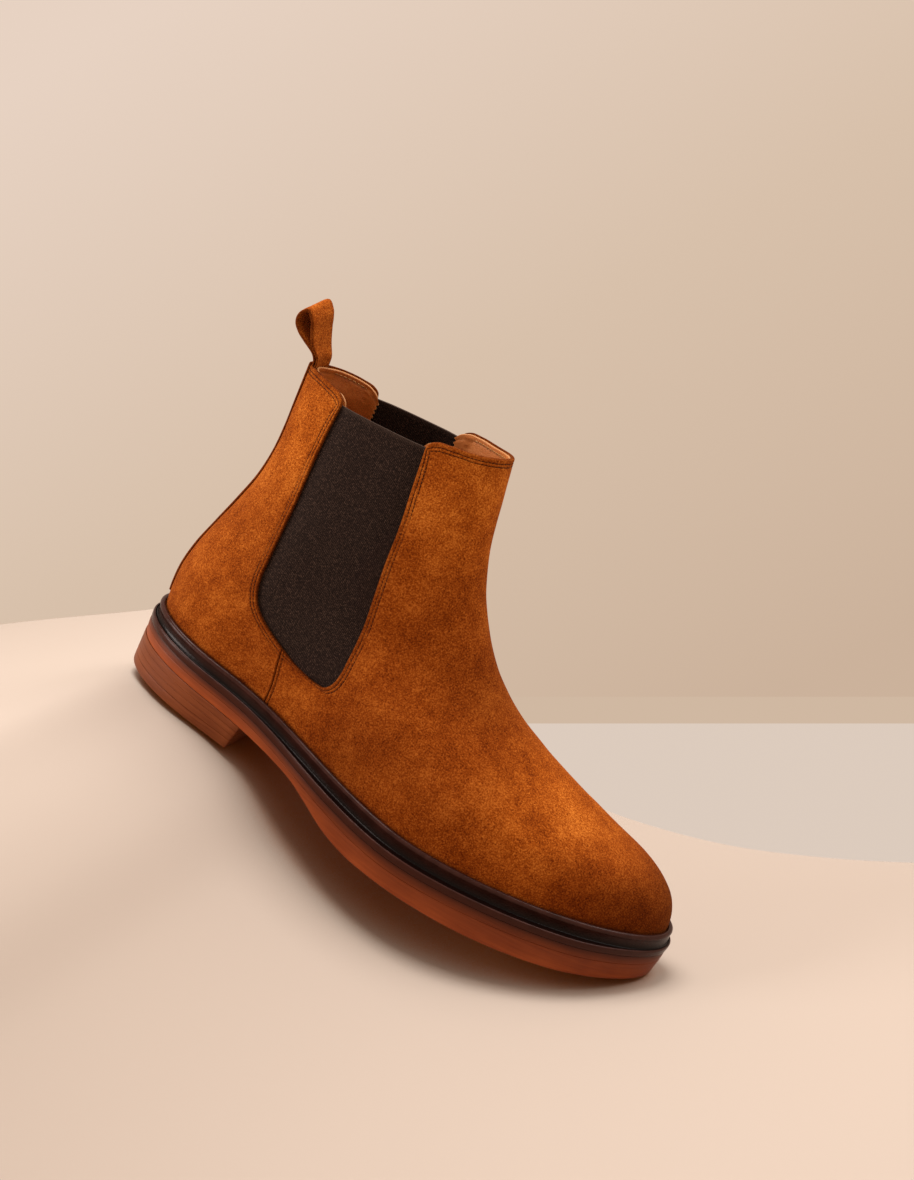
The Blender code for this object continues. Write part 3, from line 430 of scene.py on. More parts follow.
class Nodes:
    """A material's nodes, with short ways to add and join them."""

    def __init__(self, name):
        self.material = bpy.data.materials.new(name)
        self.material.use_nodes = True
        self.tree = self.material.node_tree
        self.shader = self.tree.nodes["Principled BSDF"]
        self.rest = self.attribute("rest", "Vector")

    def add(self, kind, settings=None, **inputs):
        node = self.tree.nodes.new(kind)
        for key, value in (settings or {}).items():
            setattr(node, key, value)
        for key, value in inputs.items():
            self.put(node.inputs[key.replace("_", " ")], value)
        return node

    def put(self, socket, value):
        if isinstance(value, bpy.types.NodeSocket):
            self.tree.links.new(value, socket)
        else:
            socket.default_value = value

    def set(self, **inputs):
        for key, value in inputs.items():
            self.put(self.shader.inputs[key.replace("_", " ")], value)

    def attribute(self, name, output="Fac"):
        return self.add("ShaderNodeAttribute", {"attribute_name": name}).outputs[output]

    def noise(self, cell, detail=2.0, rough=0.5, stretch=None, distortion=0.0):
        """Noise from 0 to 1 with features about a cell across, in millimetres."""
        where = self.rest
        if stretch:
            where = self.add("ShaderNodeMapping", Vector=where, Scale=stretch).outputs["Vector"]
        node = self.add("ShaderNodeTexNoise", Vector=where, Scale=1 / cell, Detail=detail,
                        Roughness=rough, Distortion=distortion)
        return node.outputs["Fac"]

    def math(self, operation, first, second=0.0, third=0.0):
        node = self.add("ShaderNodeMath", {"operation": operation})
        for socket, value in zip(node.inputs, (first, second, third)):
            self.put(socket, value)
        return node.outputs[0]

    def spread(self, value, low, high, to_low=0.0, to_high=1.0):
        """The value's range from low to high stretched over another range."""
        node = self.add("ShaderNodeMapRange", Value=value, From_Min=low, From_Max=high,
                        To_Min=to_low, To_Max=to_high)
        return node.outputs["Result"]

    def total(self, *terms):
        """The sum of values, each times its weight."""
        value = 0.0
        for term, weight in terms:
            value = self.math("MULTIPLY_ADD", term, weight, value)
        return value

    def ramp(self, value, *stops):
        """A colour from stops of (place, colour)."""
        node = self.add("ShaderNodeValToRGB", Fac=value)
        points = node.color_ramp.elements
        while len(points) < len(stops):
            points.new(0.5)
        for point, (spot, colour) in zip(points, stops):
            point.position, point.color = spot, (*colour, 1)
        return node.outputs["Color"]

    def mix(self, share, first, second, blend="MIX"):
        node = self.add("ShaderNodeMix", {"data_type": "RGBA", "blend_type": blend})
        self.put(node.inputs[0], share)
        for socket, value in ((node.inputs[6], first), (node.inputs[7], second)):
            self.put(socket, (*value, 1) if isinstance(value, tuple) else value)
        return node.outputs[2]

    def tint(self, colour, by):
        return self.mix(1.0, colour, by, "MULTIPLY")

    def bump(self, height, distance, strength=1.0):
        """A bump of a height from 0 to 1, its full depth given in millimetres."""
        node = self.add("ShaderNodeBump", Height=height, Distance=distance * MM, Strength=strength)
        self.put(self.shader.inputs["Normal"], node.outputs["Normal"])

    def one_way(self):
        """Leaves only the front of the surface to be seen, so that it hides nothing from behind."""
        behind = self.add("ShaderNodeNewGeometry").outputs["Backfacing"]
        mixed = self.add("ShaderNodeMixShader", Fac=behind)
        self.put(mixed.inputs[1], self.shader.outputs["BSDF"])
        self.put(mixed.inputs[2], self.add("ShaderNodeBsdfTransparent").outputs["BSDF"])
        self.put(self.tree.nodes["Material Output"].inputs["Surface"], mixed.outputs["Shader"])


def suede(name, dark, middle, light):
    """Napped leather: soft clouds where the nap lies over, a fine speckle, patches of painted light and
    shade, darker where the shade is.
    """
    made = Nodes(name)
    cloud, brushed, speck = made.noise(21, 3, 0.55), made.noise(5, 3, 0.6), made.noise(0.8, 2, 0.75)
    tone = made.total((cloud, 0.95), (brushed, 0.5), (speck, 2.1))
    colour = made.ramp(made.spread(tone, 1.27, 2.28), (0, dark), (0.5, middle), (1, light))
    # Painted light and shade in patches, partly nap: lighter where the value is above 0, darker below it.
    nap_and_light = made.spread(made.attribute("nap_and_light"), -0.5, 1)
    nap_and_light_tint = made.ramp(nap_and_light, (0, (0.5, 0.42, 0.36)), (1 / 3, (1, 1, 1)), (1, (2, 2.4, 2.6)))
    colour = made.tint(colour, nap_and_light_tint)
    colour = made.tint(colour, made.ramp(made.attribute("shade"), (0, (1, 1, 1)), (1, (0.17, 0.10, 0.12))))
    made.set(Base_Color=colour, Roughness=0.95, Specular_IOR_Level=0.03, Sheen_Weight=0.05,
             Sheen_Roughness=0.5, Sheen_Tint=(1.0, 0.40, 0.10, 1))
    made.bump(made.total((brushed, 0.5), (speck, 0.7)), 0.6)
    return made.material


def smooth_leather(name, dark, light, roughness):
    made = Nodes(name)
    tone = made.total((made.noise(22, 3), 0.7), (made.noise(2.2, 3), 0.3))
    colour = made.ramp(made.spread(tone, 0.35, 0.68), (0, dark), (1, light))
    colour = made.mix(made.attribute("shade"), colour, (0.36, 0.16, 0.055))
    made.set(Base_Color=colour, Roughness=roughness, Specular_IOR_Level=0.2)
    made.bump(made.noise(0.9, 3, 0.6), 0.12)
    return made.material


def elastic(name):
    """Gore: fine upright ribs with a speckle of lighter yarn."""
    made = Nodes(name)
    ribs, rows = (made.math("SINE", made.math("MULTIPLY", made.attribute(fact), 2 * np.pi / pitch))
                  for fact, pitch in (("ribs", 0.8), ("rows", 0.7)))
    weave = made.math("ADD", made.total((ribs, 0.35), (rows, 0.15)), 0.5)
    speck = made.noise(0.8, 2, 0.8)
    tone = made.spread(made.total((speck, 0.8), (weave, 0.25)), 0.38, 0.72)
    colour = made.ramp(tone, (0, (0.0065, 0.0024, 0.0012)), (0.55, (0.0125, 0.0052, 0.0032)),
                       (1, (0.062, 0.034, 0.023)))
    colour = made.mix(made.attribute("shade"), colour, (0.035, 0.020, 0.014))
    made.set(Base_Color=colour, Roughness=0.85, Specular_IOR_Level=0.08, Sheen_Weight=0.05,
             Sheen_Roughness=0.5, Sheen_Tint=(0.8, 0.6, 0.5, 1))
    made.bump(made.math("ADD", weave, speck), 0.12)
    return made.material


def thread(name, colour):
    made = Nodes(name)
    made.set(Base_Color=(*colour, 1), Roughness=0.6, Specular_IOR_Level=0.08)
    return made.material


def polished_edge(name, dark, light, streak):
    """Waxed sole edge: stained darker towards its top, with faint streaks along it."""
    made = Nodes(name)
    streaks = made.noise(9, 4, 0.65, stretch=(0.35, 0.35, 7.0), distortion=0.3)
    tone = made.total((streaks, streak), (made.noise(30, 2), 1 - streak))
    colour = made.ramp(made.spread(tone, 0.34, 0.66), (0, dark), (1, light))
    colour = made.mix(made.attribute("shade"), colour, (0.009, 0.0018, 0.001))
    made.set(Base_Color=colour, Roughness=made.spread(streaks, 0.3, 0.7, 0.34, 0.46),
             Specular_IOR_Level=0.13)
    made.bump(made.noise(1.6, 3, 0.6, stretch=(0.6, 0.6, 2.5)), 0.06)
    return made.material


def dark_welt(name):
    """Waxed welt leather: blacker where the shade is above 0, and the sole's stain where it is below."""
    made = Nodes(name)
    tone = made.spread(made.noise(6, 3, 0.6), 0.3, 0.7)
    colour = made.ramp(tone, (0, (0.022, 0.0065, 0.0042)), (1, (0.042, 0.013, 0.009)))
    shade = made.attribute("shade")
    colour = made.mix(made.math("MAXIMUM", shade, 0.0), colour, (0.002, 0.0007, 0.0005))
    colour = made.mix(made.spread(shade, 0, -1), colour, (0.036, 0.0075, 0.0030))
    made.set(Base_Color=colour, Roughness=0.24, Specular_IOR_Level=0.13, Specular_Tint=(1.0, 0.86, 0.8, 1))
    made.bump(made.noise(1.1, 3, 0.6), 0.08)
    return made.material


def paper(name, colour):
    """Matt paper, browner in a hollow, where the light has come by way of the boot."""
    made = Nodes(name)
    hollow = made.add("ShaderNodeAmbientOcclusion", {"samples": 8}, Distance=0.12).outputs["AO"]
    tint = made.ramp(hollow, (0.08, (0.85, 0.27, 0.0)), (0.5, (1, 1, 1)))
    made.set(Base_Color=made.tint(colour, tint), Roughness=0.9, Specular_IOR_Level=0.1)
    made.one_way()
    return made.material


def glow(name, *colours):
    """A backdrop that glows in its colours whatever light falls on it; with several, its shade runs through
    them as painted shade.
    """
    made = Nodes(name)
    colour = (*colours[0], 1)
    if len(colours) > 1:
        colour = made.ramp(made.attribute("shade"), *zip(np.linspace(0, 1, len(colours)), colours))
    made.set(Base_Color=(0, 0, 0, 1), Specular_IOR_Level=0.0, Emission_Color=colour, Emission_Strength=1.0)
    made.one_way()
    return made.material


# ---- the upper

# Patches of nap and of painted light and shade, alike on both sides: x, distance from the middle, z, radius,
# and how much lighter.
NAP_AND_LIGHT_PATCHES = ((44, 23, 158, 38, 0.60), (125, 15, 165, 42, 0.70), (31, 27, 78, 24, 0.15),
               (40, 30, 52, 20, 0.22), (222, 2, 72, 30, 0.50), (228, 38, 48, 24, 0.42),
               (252, 4, 63, 20, 0.15), (178, 6, 91, 24, -0.22), (127, 40, 31, 22, -0.28),
               (100, 35, 46, 18, 0.25), (158, 45, 54, 22, -0.15), (274, 22, 33, 24, -0.30))


def rounded(distance, radius):
    """How far a rounded edge falls, at a distance in from it."""
    return radius - np.sqrt(radius**2 - np.clip(radius - distance, 0, radius) ** 2)


def furrow(distance, at, width=0.34):
    return np.exp(-(((distance - at) / width) ** 2))


def darken(*shades):
    """Shades from 0 to 1 laid over each other."""
    return 1 - np.prod([1 - np.clip(shade, 0, 1) for shade in np.broadcast_arrays(*shades)], axis=0)


def nap_and_light_at(points):
    """Where painted light and shade lie, partly nap that lies over: lighter above 0, darker below 0."""
    nap_and_light = np.zeros(points.shape[:-1])
    for x, y, z, radius, strength in NAP_AND_LIGHT_PATCHES:
        away = np.stack([points[..., 0], np.abs(points[..., 1]), points[..., 2]], -1) - (x, y, z)
        nap_and_light += strength * np.exp(-(away**2).sum(axis=-1) / radius**2)
    return nap_and_light


def suede_sheet(side, grid, top, seam_stitch):
    gore, topline, seam = distances(grid, top)
    base = base_of(side, grid)
    edge = np.minimum(np.minimum(gore, topline), seam)
    sewn = np.minimum(gore, topline - TOPLINE_SHIFT)
    rows = sum(furrow(sewn, row) for row in STITCH_ROWS)
    seam_row = seam_stitch * furrow(seam, SEAM_STITCH)
    waves = noise(base, 17, 3) - 0.5 + 0.45 * (noise(base, 8, 5) - 0.5)
    depth = (rounded(edge, 0.85) + 0.34 * rows + 0.3 * seam_row - 0.32 * furrow(seam, 0.95, 0.7)
             + 0.55 * waves * ease(edge, 0, 6))
    height = base[..., 2] - welt_top(base[..., 0])
    # Painted shade along the rounded edges, in the stitch furrows and beside the gore and topline; darker
    # near the welt; darker at the toe, partly burnish and partly painted shade where it faces away from the
    # light.
    shade = darken(0.75 * np.exp(-edge / 0.45), 0.42 * rows, 0.42 * seam_row, 0.30 * np.exp(-height / 6),
                   0.55 * ease(base[..., 0], 262, 302), 0.22 * np.exp(-sewn / 2.5))
    return sheet_at(side, grid, depth, SUEDE, shade, nap_and_light_at(base))


def lining_depth(gore, topline, base):
    """The lining lies against the suede at the topline, and behind the gore, the loop and the stiffeners."""
    apart = np.maximum(ease(topline, 1, 12), 1 - ease(gore, 6, 12))
    at_loop = (1 - ease(np.abs(base[..., 1]), 8, 14)) * (base[..., 0] < 60)
    apart = np.maximum(apart, at_loop * (1 - 0.25 * ease(topline, 6, 20)))
    return SUEDE + 0.05 + 1.4 * apart + 0.4 * (1 - ease(base[..., 2], 96, 116))


def lining_sheet(side, grid, top):
    gore, topline, seam = distances(grid, top)
    base = base_of(side, grid)
    outer = lining_depth(gore, topline, base)
    edge = np.minimum(np.minimum(gore, topline), seam)
    wrinkles = noise(base * (0.5, 0.5, 1.6), 9, 7) - 0.5 + 0.6 * (noise(base * (0.6, 0.6, 1), 4, 9) - 0.5)
    inner = outer + LINING + 0.55 * wrinkles * ease(edge, 0, 4) - 0.25 * furrow(topline, LINING_STITCH)
    shade = darken(0.9 * (1 - ease(edge, 0, 0.6)), 0.25 * furrow(topline, LINING_STITCH))
    return sheet_at(side, grid, outer, inner - rounded(edge, 0.35), shade)


def lining(name, edges, topline, top, finish):
    """Both sides of a lining: pinked along the gores, and a little lower than the suede's topline."""
    near, far = edges(LINING_STEP, LINING_ROWS)
    zigzag = 1.6 - 1.1 * np.abs((run_of(base_of(LATERAL, near)) / PINKING) % 1 * 2 - 1)
    lower = [(x, z - LINING_LOWER) for x, z in topline]
    far = far * (1, 1 - LINING_LOWER / 150)
    grid = panel((near, far), lower, top, 2.5 * LINING_STEP, LINING_ROWS, -zigzag[:, None])
    return wall(name, [lining_sheet(side, grid, top) for side, _ in SIDES], finish, ("shade",))


def make_panels():
    """The suede panels and the linings. Each quarter runs unbroken past the bend."""
    facts = ("shade", "nap_and_light")
    sheets = [suede_sheet(side, VAMP, -1, True) for side, _ in SIDES]
    made = wall("vamp_suede", sheets, SUEDE_FINISH, facts)
    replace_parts(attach(made, "boot"), "vamp")
    quarter = QUARTER.copy()
    quarter[quarter[..., 0] < BACK_GAP, 0] = BACK_GAP
    for side, word in SIDES:
        sheets = [suede_sheet(side, quarter, 0, False)]
        made = bend(wall(f"quarter_suede_{word}", sheets, SUEDE_FINISH, facts))
        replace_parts(made, f"quarter_{word}", f"collar_{word}")
    made = lining("vamp_lining_leather", front_edges, TOPLINE_FRONT, -1, FRONT_LINING_FINISH)
    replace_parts(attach(made, "boot"), "vamp_lining")
    made = lining("rear_lining_leather", rear_edges, TOPLINE_REAR, 0, LINING_FINISH)
    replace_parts(bend(made), "heel_lining", "collar_lining")


def bend_share(height):
    """A share from 0 below the bend to 1 above it, by a point's height."""
    return ease(height, BEND_HEIGHT - BEND_REACH, BEND_HEIGHT + BEND_REACH)


def bend(made):
    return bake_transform(made)


def turns_at(side, aways, v):
    """Turns at distances round from the back, at a height v."""
    turns = np.linspace(0, 0.3, 60)
    return np.interp(aways, run_of(outside(side, turns, v)), turns)


def make_back_strip():
    """A narrow strap over the back seam, from the welt's bead to the topline."""
    aways = np.r_[np.linspace(1, 0.15, 10), 0] * STRIP_HALF
    grid = np.array([[(turn, v) for turn in turns_at(LATERAL, aways, v)]
                     for v in np.linspace(STRIP_FOOT, 1, round(170 / STEP))])
    across = np.broadcast_to(STRIP_HALF - aways, grid.shape[:2])
    end = 180 - base_of(LATERAL, grid)[..., 2]
    row = furrow(across, STRIP_STITCH)
    depth = -BACK_STRIP + rounded(across, 0.7) + STITCH_DEPTH * row + rounded(end, 0.7)
    # Painted shade along the strip's edges and in its stitch furrow; the strip is a little darker all over.
    shade = darken(0.75 * np.exp(-across / 0.5), 0.42 * row, 0.12)
    sheets = [sheet_at(side, grid, depth, 0.12, shade) for side, _ in SIDES]
    made = bend(wall("back_strip_suede", sheets, SUEDE_FINISH, ("shade",)))
    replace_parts(made, "back_strip_lower", "back_strip_upper")


def gore_edges_at(heights):
    """x of the gore's rear and front edges at heights."""
    shares = np.linspace(0, 1, 200)
    rear = np.concatenate([path(GORE_REAR)(shares), path(GORE_REAR_FOOT)(shares)])[::-1]
    front = np.concatenate([path(GORE_FRONT_FOOT)(shares), path(GORE_FRONT)(shares)])
    front = front[np.argmin(front[:, 1]) :]
    return [np.interp(heights, edge[:, 1], edge[:, 0]) for edge in (rear, front)]


def make_gores():
    """Elastic between the quarters and the vamp, with a weight at each point that rises towards its rear
    edge and above the bend.
    """
    up, across = np.linspace(0, 1, round(125 / STEP))[:, None], np.linspace(0, 1, round(70 / STEP))
    rear_z, front_z = (GORE_LOW + (top - GORE_LOW) * up for top in GORE_TOPS)
    x = gore_edges_at(rear_z)[0] - GORE_MARGIN
    x = x + (gore_edges_at(front_z)[1] + GORE_MARGIN - x) * across
    z = rear_z + (front_z - rear_z) * across
    grid = locate(np.stack([x, z], -1).reshape(-1, 2)).reshape(*x.shape, 2)
    rear, front = gore_edges_at(z)
    weight = (1 - np.clip((x - rear) / (front - rear), 0, 1)) * bend_share(z)
    inside = ease(np.minimum(x - rear, front - x), -1, 9)
    lip = 1 - ease((1 - up) * 124, 0.5, 0.9)
    for side, word in SIDES:
        depth = GORE_DEPTH - 0.5 * inside + 0.3 * (noise(base_of(side, grid), 15, 4) - 0.5) * inside
        sheet = sheet_at(side, grid, depth - 0.1 * lip, depth + GORE, x, z, lip * 0.8, weight)
        facts = ("ribs", "rows", "shade", "weight")
        made = bend(wall(f"gore_elastic_{word}", [sheet], GORE_FINISH, facts, crisp=True))
        weights = np.empty(len(made.data.vertices), np.float32)
        made.data.attributes["weight"].data.foreach_get("value", weights)
        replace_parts(made, f"gore_{word}")


# ---- stitches


def spot_at(distance, run, line):
    """The spot on a line of turn and v at a distance, from the distances of the line's points."""
    return [np.interp(distance, run, line[:, k]) for k in (0, 1)]


def along_top(grid, top, distance, first):
    """Spots at a distance from the topline, in a panel's columns from the first one named."""
    down = slice(None) if top == 0 else slice(None, None, -1)
    run = distances(grid, top)[1][down]
    return [spot_at(distance, run[:, r], grid[down, r]) for r in range(first, grid.shape[1])]


def inset(grid, top, row):
    """turn and v along a row of stitches: beside the topline, round its corner and down beside the gore."""
    gore, topline, _ = distances(grid, top)
    down = [spot_at(row, gore[j], grid[j]) for j in range(len(grid))
            if np.interp(row, gore[j], topline[j]) > row + TOPLINE_SHIFT]
    beside = along_top(grid, top, row + TOPLINE_SHIFT, (gore[top] <= row).sum())
    return np.array(beside[::-1] + down if top == 0 else down + beside)


def add_stitches(name, lines, finish, length=STITCH_LENGTH, pitch=STITCH_PITCH):
    """One mesh of short rounded threads along lines of (points, normals), sunk half way at the points."""
    angles = -np.linspace(0, 2 * np.pi, 6, endpoint=False)[:, None]
    at, size = np.array(STITCH_SHAPE).T[..., None, None]
    numbers = np.arange(24).reshape(4, 6)
    tube = grid_faces(np.hstack([numbers, numbers[:, :1]]))[:, ::-1]
    faces = np.vstack([tube, [(0, 1, 4, 5), (1, 2, 3, 4), (19, 18, 23, 22), (20, 19, 22, 21)]])
    corners = []
    for points, outward in lines:
        run = run_of(points)
        spots = np.arange(pitch, run[-1] - pitch / 2, pitch)
        middle, ahead, normal = (
            np.stack([np.interp(where, run, values[:, k]) for k in range(3)], -1)
            for where, values in ((spots, points), (spots + 0.3, points), (spots, outward)))
        ahead = ahead - middle
        ahead /= np.linalg.norm(ahead, axis=1, keepdims=True) + 1e-9
        normal /= np.linalg.norm(normal, axis=1, keepdims=True)
        beside = np.cross(ahead, normal)
        middle, ahead, normal, beside = (part[:, None, None] for part in (middle, ahead, normal, beside))
        around = np.cos(angles) * beside + np.sin(angles) * normal
        corners.append((middle + ahead * at * length + STITCH_RADIUS * size * around).reshape(-1, 3))
    corners = np.concatenate(corners)
    starts = np.arange(0, len(corners), 24)[:, None, None]
    return make_object(name, corners, (faces + starts).reshape(-1, 4), finish)


def line_on(side, spots, depth):
    """Points and normals of a line through spots of turn and v."""
    spots = np.array(spots)
    return surface(side, spots, depth), normals(side, *spots.T)


def make_stitches():
    seam = distances(VAMP, -1)[2]
    beside_seam = [spot_at(SEAM_STITCH, seam[:, r], VAMP[:, r]) for r in range(9, VAMP.shape[1])]
    for side, word in SIDES:
        rear, front = ([line_on(side, inset(grid, top, row), STITCH_DEPTH) for row in STITCH_ROWS]
                       for grid, top in ((QUARTER, 0), (VAMP, -1)))
        bend(add_stitches(f"quarter_stitches_{word}", rear, THREAD_FINISH))
        front.append(line_on(side, beside_seam, STITCH_DEPTH))
        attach(add_stitches(f"vamp_stitches_{word}", front, THREAD_FINISH), "boot")
        strip = [(turns_at(side, STRIP_HALF - STRIP_STITCH, v), v)
                 for v in np.linspace(STRIP_FOOT + 0.02, 0.985, 120)]
        strip = line_on(side, strip, STITCH_DEPTH - BACK_STRIP)
        bend(add_stitches(f"strip_stitches_{word}", [strip], THREAD_FINISH))
        for grid, top, name in ((VAMP, -1, "vamp"), (QUARTER, 0, "rear")):
            row = along_top(grid, top, LINING_STITCH, 6)
            points, outward = line_on(side, row, SUEDE + LINING + 0.22)
            made = add_stitches(f"{name}_lining_stitches_{word}", [(points, -outward)],
                                LINING_THREAD_FINISH, length=1.9, pitch=2.4)
            if top == 0:
                bend(made)
            else:
                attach(made, "boot")


# ---- the pull loop

LOOP_PATH = ((18.0, 176.5), (18.0, 181.0), (16.4, 185.2), (11.8, 189.1), (6.6, 192.4), (3.3, 196.4),
             (3.1, 200.9), (6.3, 204.4), (9.5, 202.0), (13.1, 194.6), (16.8, 187.6), (19.0, 184.0),
             (19.5, 181.0), (19.5, 176.5))
LOOP_FOOT, LOOP_FREE, LOOP_FOLD = 180.5, 184.5, 204.0
LOOP_FOOT_HALF = 7.6
LOOP_THICK, LOOP_FOOT_THICK = 1.75, 1.0
# How much higher the fold is at the medial edge than at its middle.
LOOP_TILT = 2.4


def make_pull_loop():
    """A suede strap that goes up from between quarter and lining, over, and back down."""
    middle = path(LOOP_PATH)(np.linspace(0, 1, 130))
    along = np.gradient(middle, axis=0)
    normal = np.stack([along[:, 1], -along[:, 0]], -1) / np.linalg.norm(along, axis=1)[:, None]
    free = ease(middle[:, 1], LOOP_FOOT, LOOP_FREE + 6)
    half = LOOP_FOOT_HALF + (LOOP_WIDTH / 2 - LOOP_FOOT_HALF) * free
    thick = LOOP_FOOT_THICK + (LOOP_THICK - LOOP_FOOT_THICK) * free
    tilt = LOOP_TILT * free * ease(middle[:, 1], LOOP_FOOT, LOOP_FOLD)
    topline = outside(LATERAL, np.linspace(0, 0.4, 80), 1)
    section = [(y, 1) for y in (-1, -0.97, -0.9, -0.6, -0.3, 0, 0.3, 0.6, 0.9, 0.97, 1)]
    section += [(y, -1) for y, _ in section[::-1]]
    rings = []
    for y, face in section:
        bevel = np.clip((1 - np.abs(y)) / 0.08, 0, 1)
        out = face * thick / 2 * (0.45 + 0.55 * np.sqrt(1 - (1 - bevel) ** 2))
        across = y * half
        sag = np.interp(np.abs(across), np.abs(topline[:, 1]), topline[:, 0]) - topline[0, 0]
        out = out + 0.22 * (noise(np.c_[middle, across], 2.5, 11) - 0.5) * free
        x = middle[:, 0] - normal[:, 0] * out + 0.6 * sag * (1 - free)
        rings.append(np.stack([x, across, middle[:, 1] - normal[:, 1] * out + tilt * y], -1))
    points = np.array(rings)
    count, length = points.shape[:2]
    numbers = np.arange(count * length).reshape(count, length)
    faces = list(grid_faces(np.vstack([numbers, numbers[:1]]))[:, ::-1])
    for end in (numbers[::-1, 0], numbers[:, -1]):
        faces += [(end[k], end[k + 1], end[-2 - k], end[-1 - k]) for k in range(count // 2 - 1)]
    # Painted shade along the strap's edges; the whole strap is a little lighter by its nap and painted light
    # value.
    shade = np.repeat([0.7 * np.exp(-(1 - abs(y)) / 0.05) for y, _ in section], length)
    made = make_object("pull_loop_suede", points.reshape(-1, 3), faces, SUEDE_FINISH,
                       {"shade": shade, "nap_and_light": np.full(len(shade), 0.2)})
    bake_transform(made)
    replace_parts(made, "pull_loop")


# ---- the bottom


def plan(turns, offset):
    """A ring of edge points in plan, offset from the feather line: lateral to the toe, then medial."""
    ring = np.vstack([outside(LATERAL, turns, 0), outside(MEDIAL, turns, 0)[::-1][1:-1]])[:, :2]
    along = np.roll(ring, -1, 0) - np.roll(ring, 1, 0)
    outward = np.stack([along[:, 1], -along[:, 0]], -1) / np.linalg.norm(along, axis=1)[:, None]
    offset = np.broadcast_to(offset, len(turns))
    return ring + outward * np.r_[offset, offset[::-1][1:-1]][:, None]


def foot_turns(step):
    """Turns that step evenly along the feather line."""
    turns = np.linspace(0, np.pi, 2000)
    run = run_of(outside(LATERAL, turns, 0))
    return np.interp(np.linspace(0, run[-1], round(run[-1] / step)), run, turns)


TURNS = foot_turns(STEP)
FOOT = outside(LATERAL, TURNS, 0)
REACH = WELT_HEEL + WELT_BALL * ease(FOOT[:, 0], 60, 150) + WELT_TOE * ease(FOOT[:, 0], 262, 300)


def ring_at(offset, height):
    """A ring at an offset from the feather line, its height a function of x."""
    ring = plan(TURNS, offset)
    return np.c_[ring, height(ring[:, 0])]


def loft(name, rings, finish, shades, closed=True):
    """A skin through rings of points. A closed one joins its last ring to its first, else caps close it."""
    rows, count = len(rings), len(rings[0])
    numbers = np.arange(rows * count).reshape(rows, count)
    numbers = np.hstack([numbers, numbers[:, :1]])
    faces = list(grid_faces(np.vstack([numbers, numbers[:1]]) if closed else numbers))
    if not closed:
        for ring in (numbers[0, ::-1], numbers[-1]):
            faces += [tuple(dict.fromkeys((ring[k], ring[k + 1], ring[count - k - 1], ring[count - k])))
                      for k in range(count // 2)]
    facts = {"shade": np.repeat(shades, count)}
    return make_object(name, np.vstack(rings), faces, finish, facts, crisp=not closed)


def bead_ring(out, height):
    """A ring that stands off the upper's outside at a height above its foot."""
    halves = []
    for side, _ in SIDES:
        low, high = np.zeros(len(TURNS)), np.full(len(TURNS), 0.3)
        foot = outside(side, TURNS, 0)[:, 2]
        for _ in range(25):
            v = (low + high) / 2
            above = outside(side, TURNS, v)[:, 2] > foot + height
            low, high = np.where(above, low, v), np.where(above, v, high)
        halves.append(surface(side, np.stack([TURNS, v], -1), -out))
    return np.vstack([halves[0], halves[1][::-1][1:-1]])


def make_welt():
    """A storm welt: a rounded bead up against the upper, a groove, then a shelf with a soft outer edge."""

    def top(offset, drop):
        return ring_at(offset, lambda x: welt_top(x) + drop)

    bead = BEAD_HEIGHT - UPPER_LIFT
    rings = [top(-5, -WELT), top(-5, 0.4), top(0.7, 0.4), bead_ring(0.3, 1.5), bead_ring(0.1, bead - 1.9)]
    shades = [0] * len(rings)
    for angle in np.radians((165, 140, 112, 85, 58, 30, 2, -24, -45)):
        rings.append(bead_ring(1.65 + 1.5 * np.cos(angle), bead - 1.55 + 1.5 * np.sin(angle)))
        shades.append(0.5 * (angle > 2.4) + 0.3 * (angle < 0))
    groove = ((3.2, 1.35, 0.85), (3.35, 0.55, 1), (3.6, 0.12, 1), (4.0, 0, 0.95))
    shelf = ((1.3, 0.02, 0.9), (0.75, 0.16, 0.5), (0.35, 0.1, 0), (0.1, -0.15, 0), (0, -0.5, -0.4),
             (0, -1.3, -0.7), (0.02, -2.2, -0.9), (0.1, -3.0, -1), (0.2, -WELT, -1))
    for offset, drop, shade in groove + tuple((REACH - inset_by, *rest) for inset_by, *rest in shelf):
        rings.append(top(offset, drop))
        shades.append(shade)
    made = loft("welt_strip", rings, WELT_FINISH, shades)
    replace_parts(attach(made, "boot"), "welt")


def midsole_top(x):
    return welt_top(x) - WELT - 0.1


def midsole_bottom(x):
    return welt_top(x) - WELT - 0.3 - (MIDSOLE_HEEL + (MIDSOLE_BALL - MIDSOLE_HEEL) * ease(x, 100, 180))


def layer_rings(outline, low, high, rows, shades):
    """Rings of a layer, its top first, at rows of (inset, share of its height), and each ring's shade."""
    rings = []
    for inset_by, share in rows[::-1]:
        ring = outline(inset_by, share)
        rings.append(np.c_[ring, low(ring[:, 0]) + (high(ring[:, 0]) - low(ring[:, 0])) * share])
    return rings, [shades[0] + (shades[1] - shades[0]) * share for _, share in rows[::-1]]


def layer(name, outline, low, high, soft, shades):
    """A layer of the sole with softened edges. outline gives its ring at an inset and a share of height."""
    rows = ((soft + 0.2, 0.0), (soft * 0.4, 0.03), (0.0, 0.10), (0.0, 0.35), (0.0, 0.65), (0.0, 0.9),
            (soft * 0.4, 0.97), (soft + 0.2, 1.0))
    rings, values = layer_rings(outline, low, high, rows, shades)
    made = loft(f"{name}_edge", rings, SOLE_FINISH, values, closed=False)
    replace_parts(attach(made, "boot"), name)


def make_soles():
    layer("midsole", lambda inset_by, share: plan(TURNS, REACH - 0.35 - inset_by), midsole_bottom,
          midsole_top, soft=0.1, shades=(0.42, 0.85))
    layer("outsole", lambda inset_by, share: plan(TURNS, REACH - 0.95 + 0.6 * share - inset_by), tread,
          lambda x: midsole_bottom(x) - 0.02, soft=0.25, shades=(0.0, 0.38))


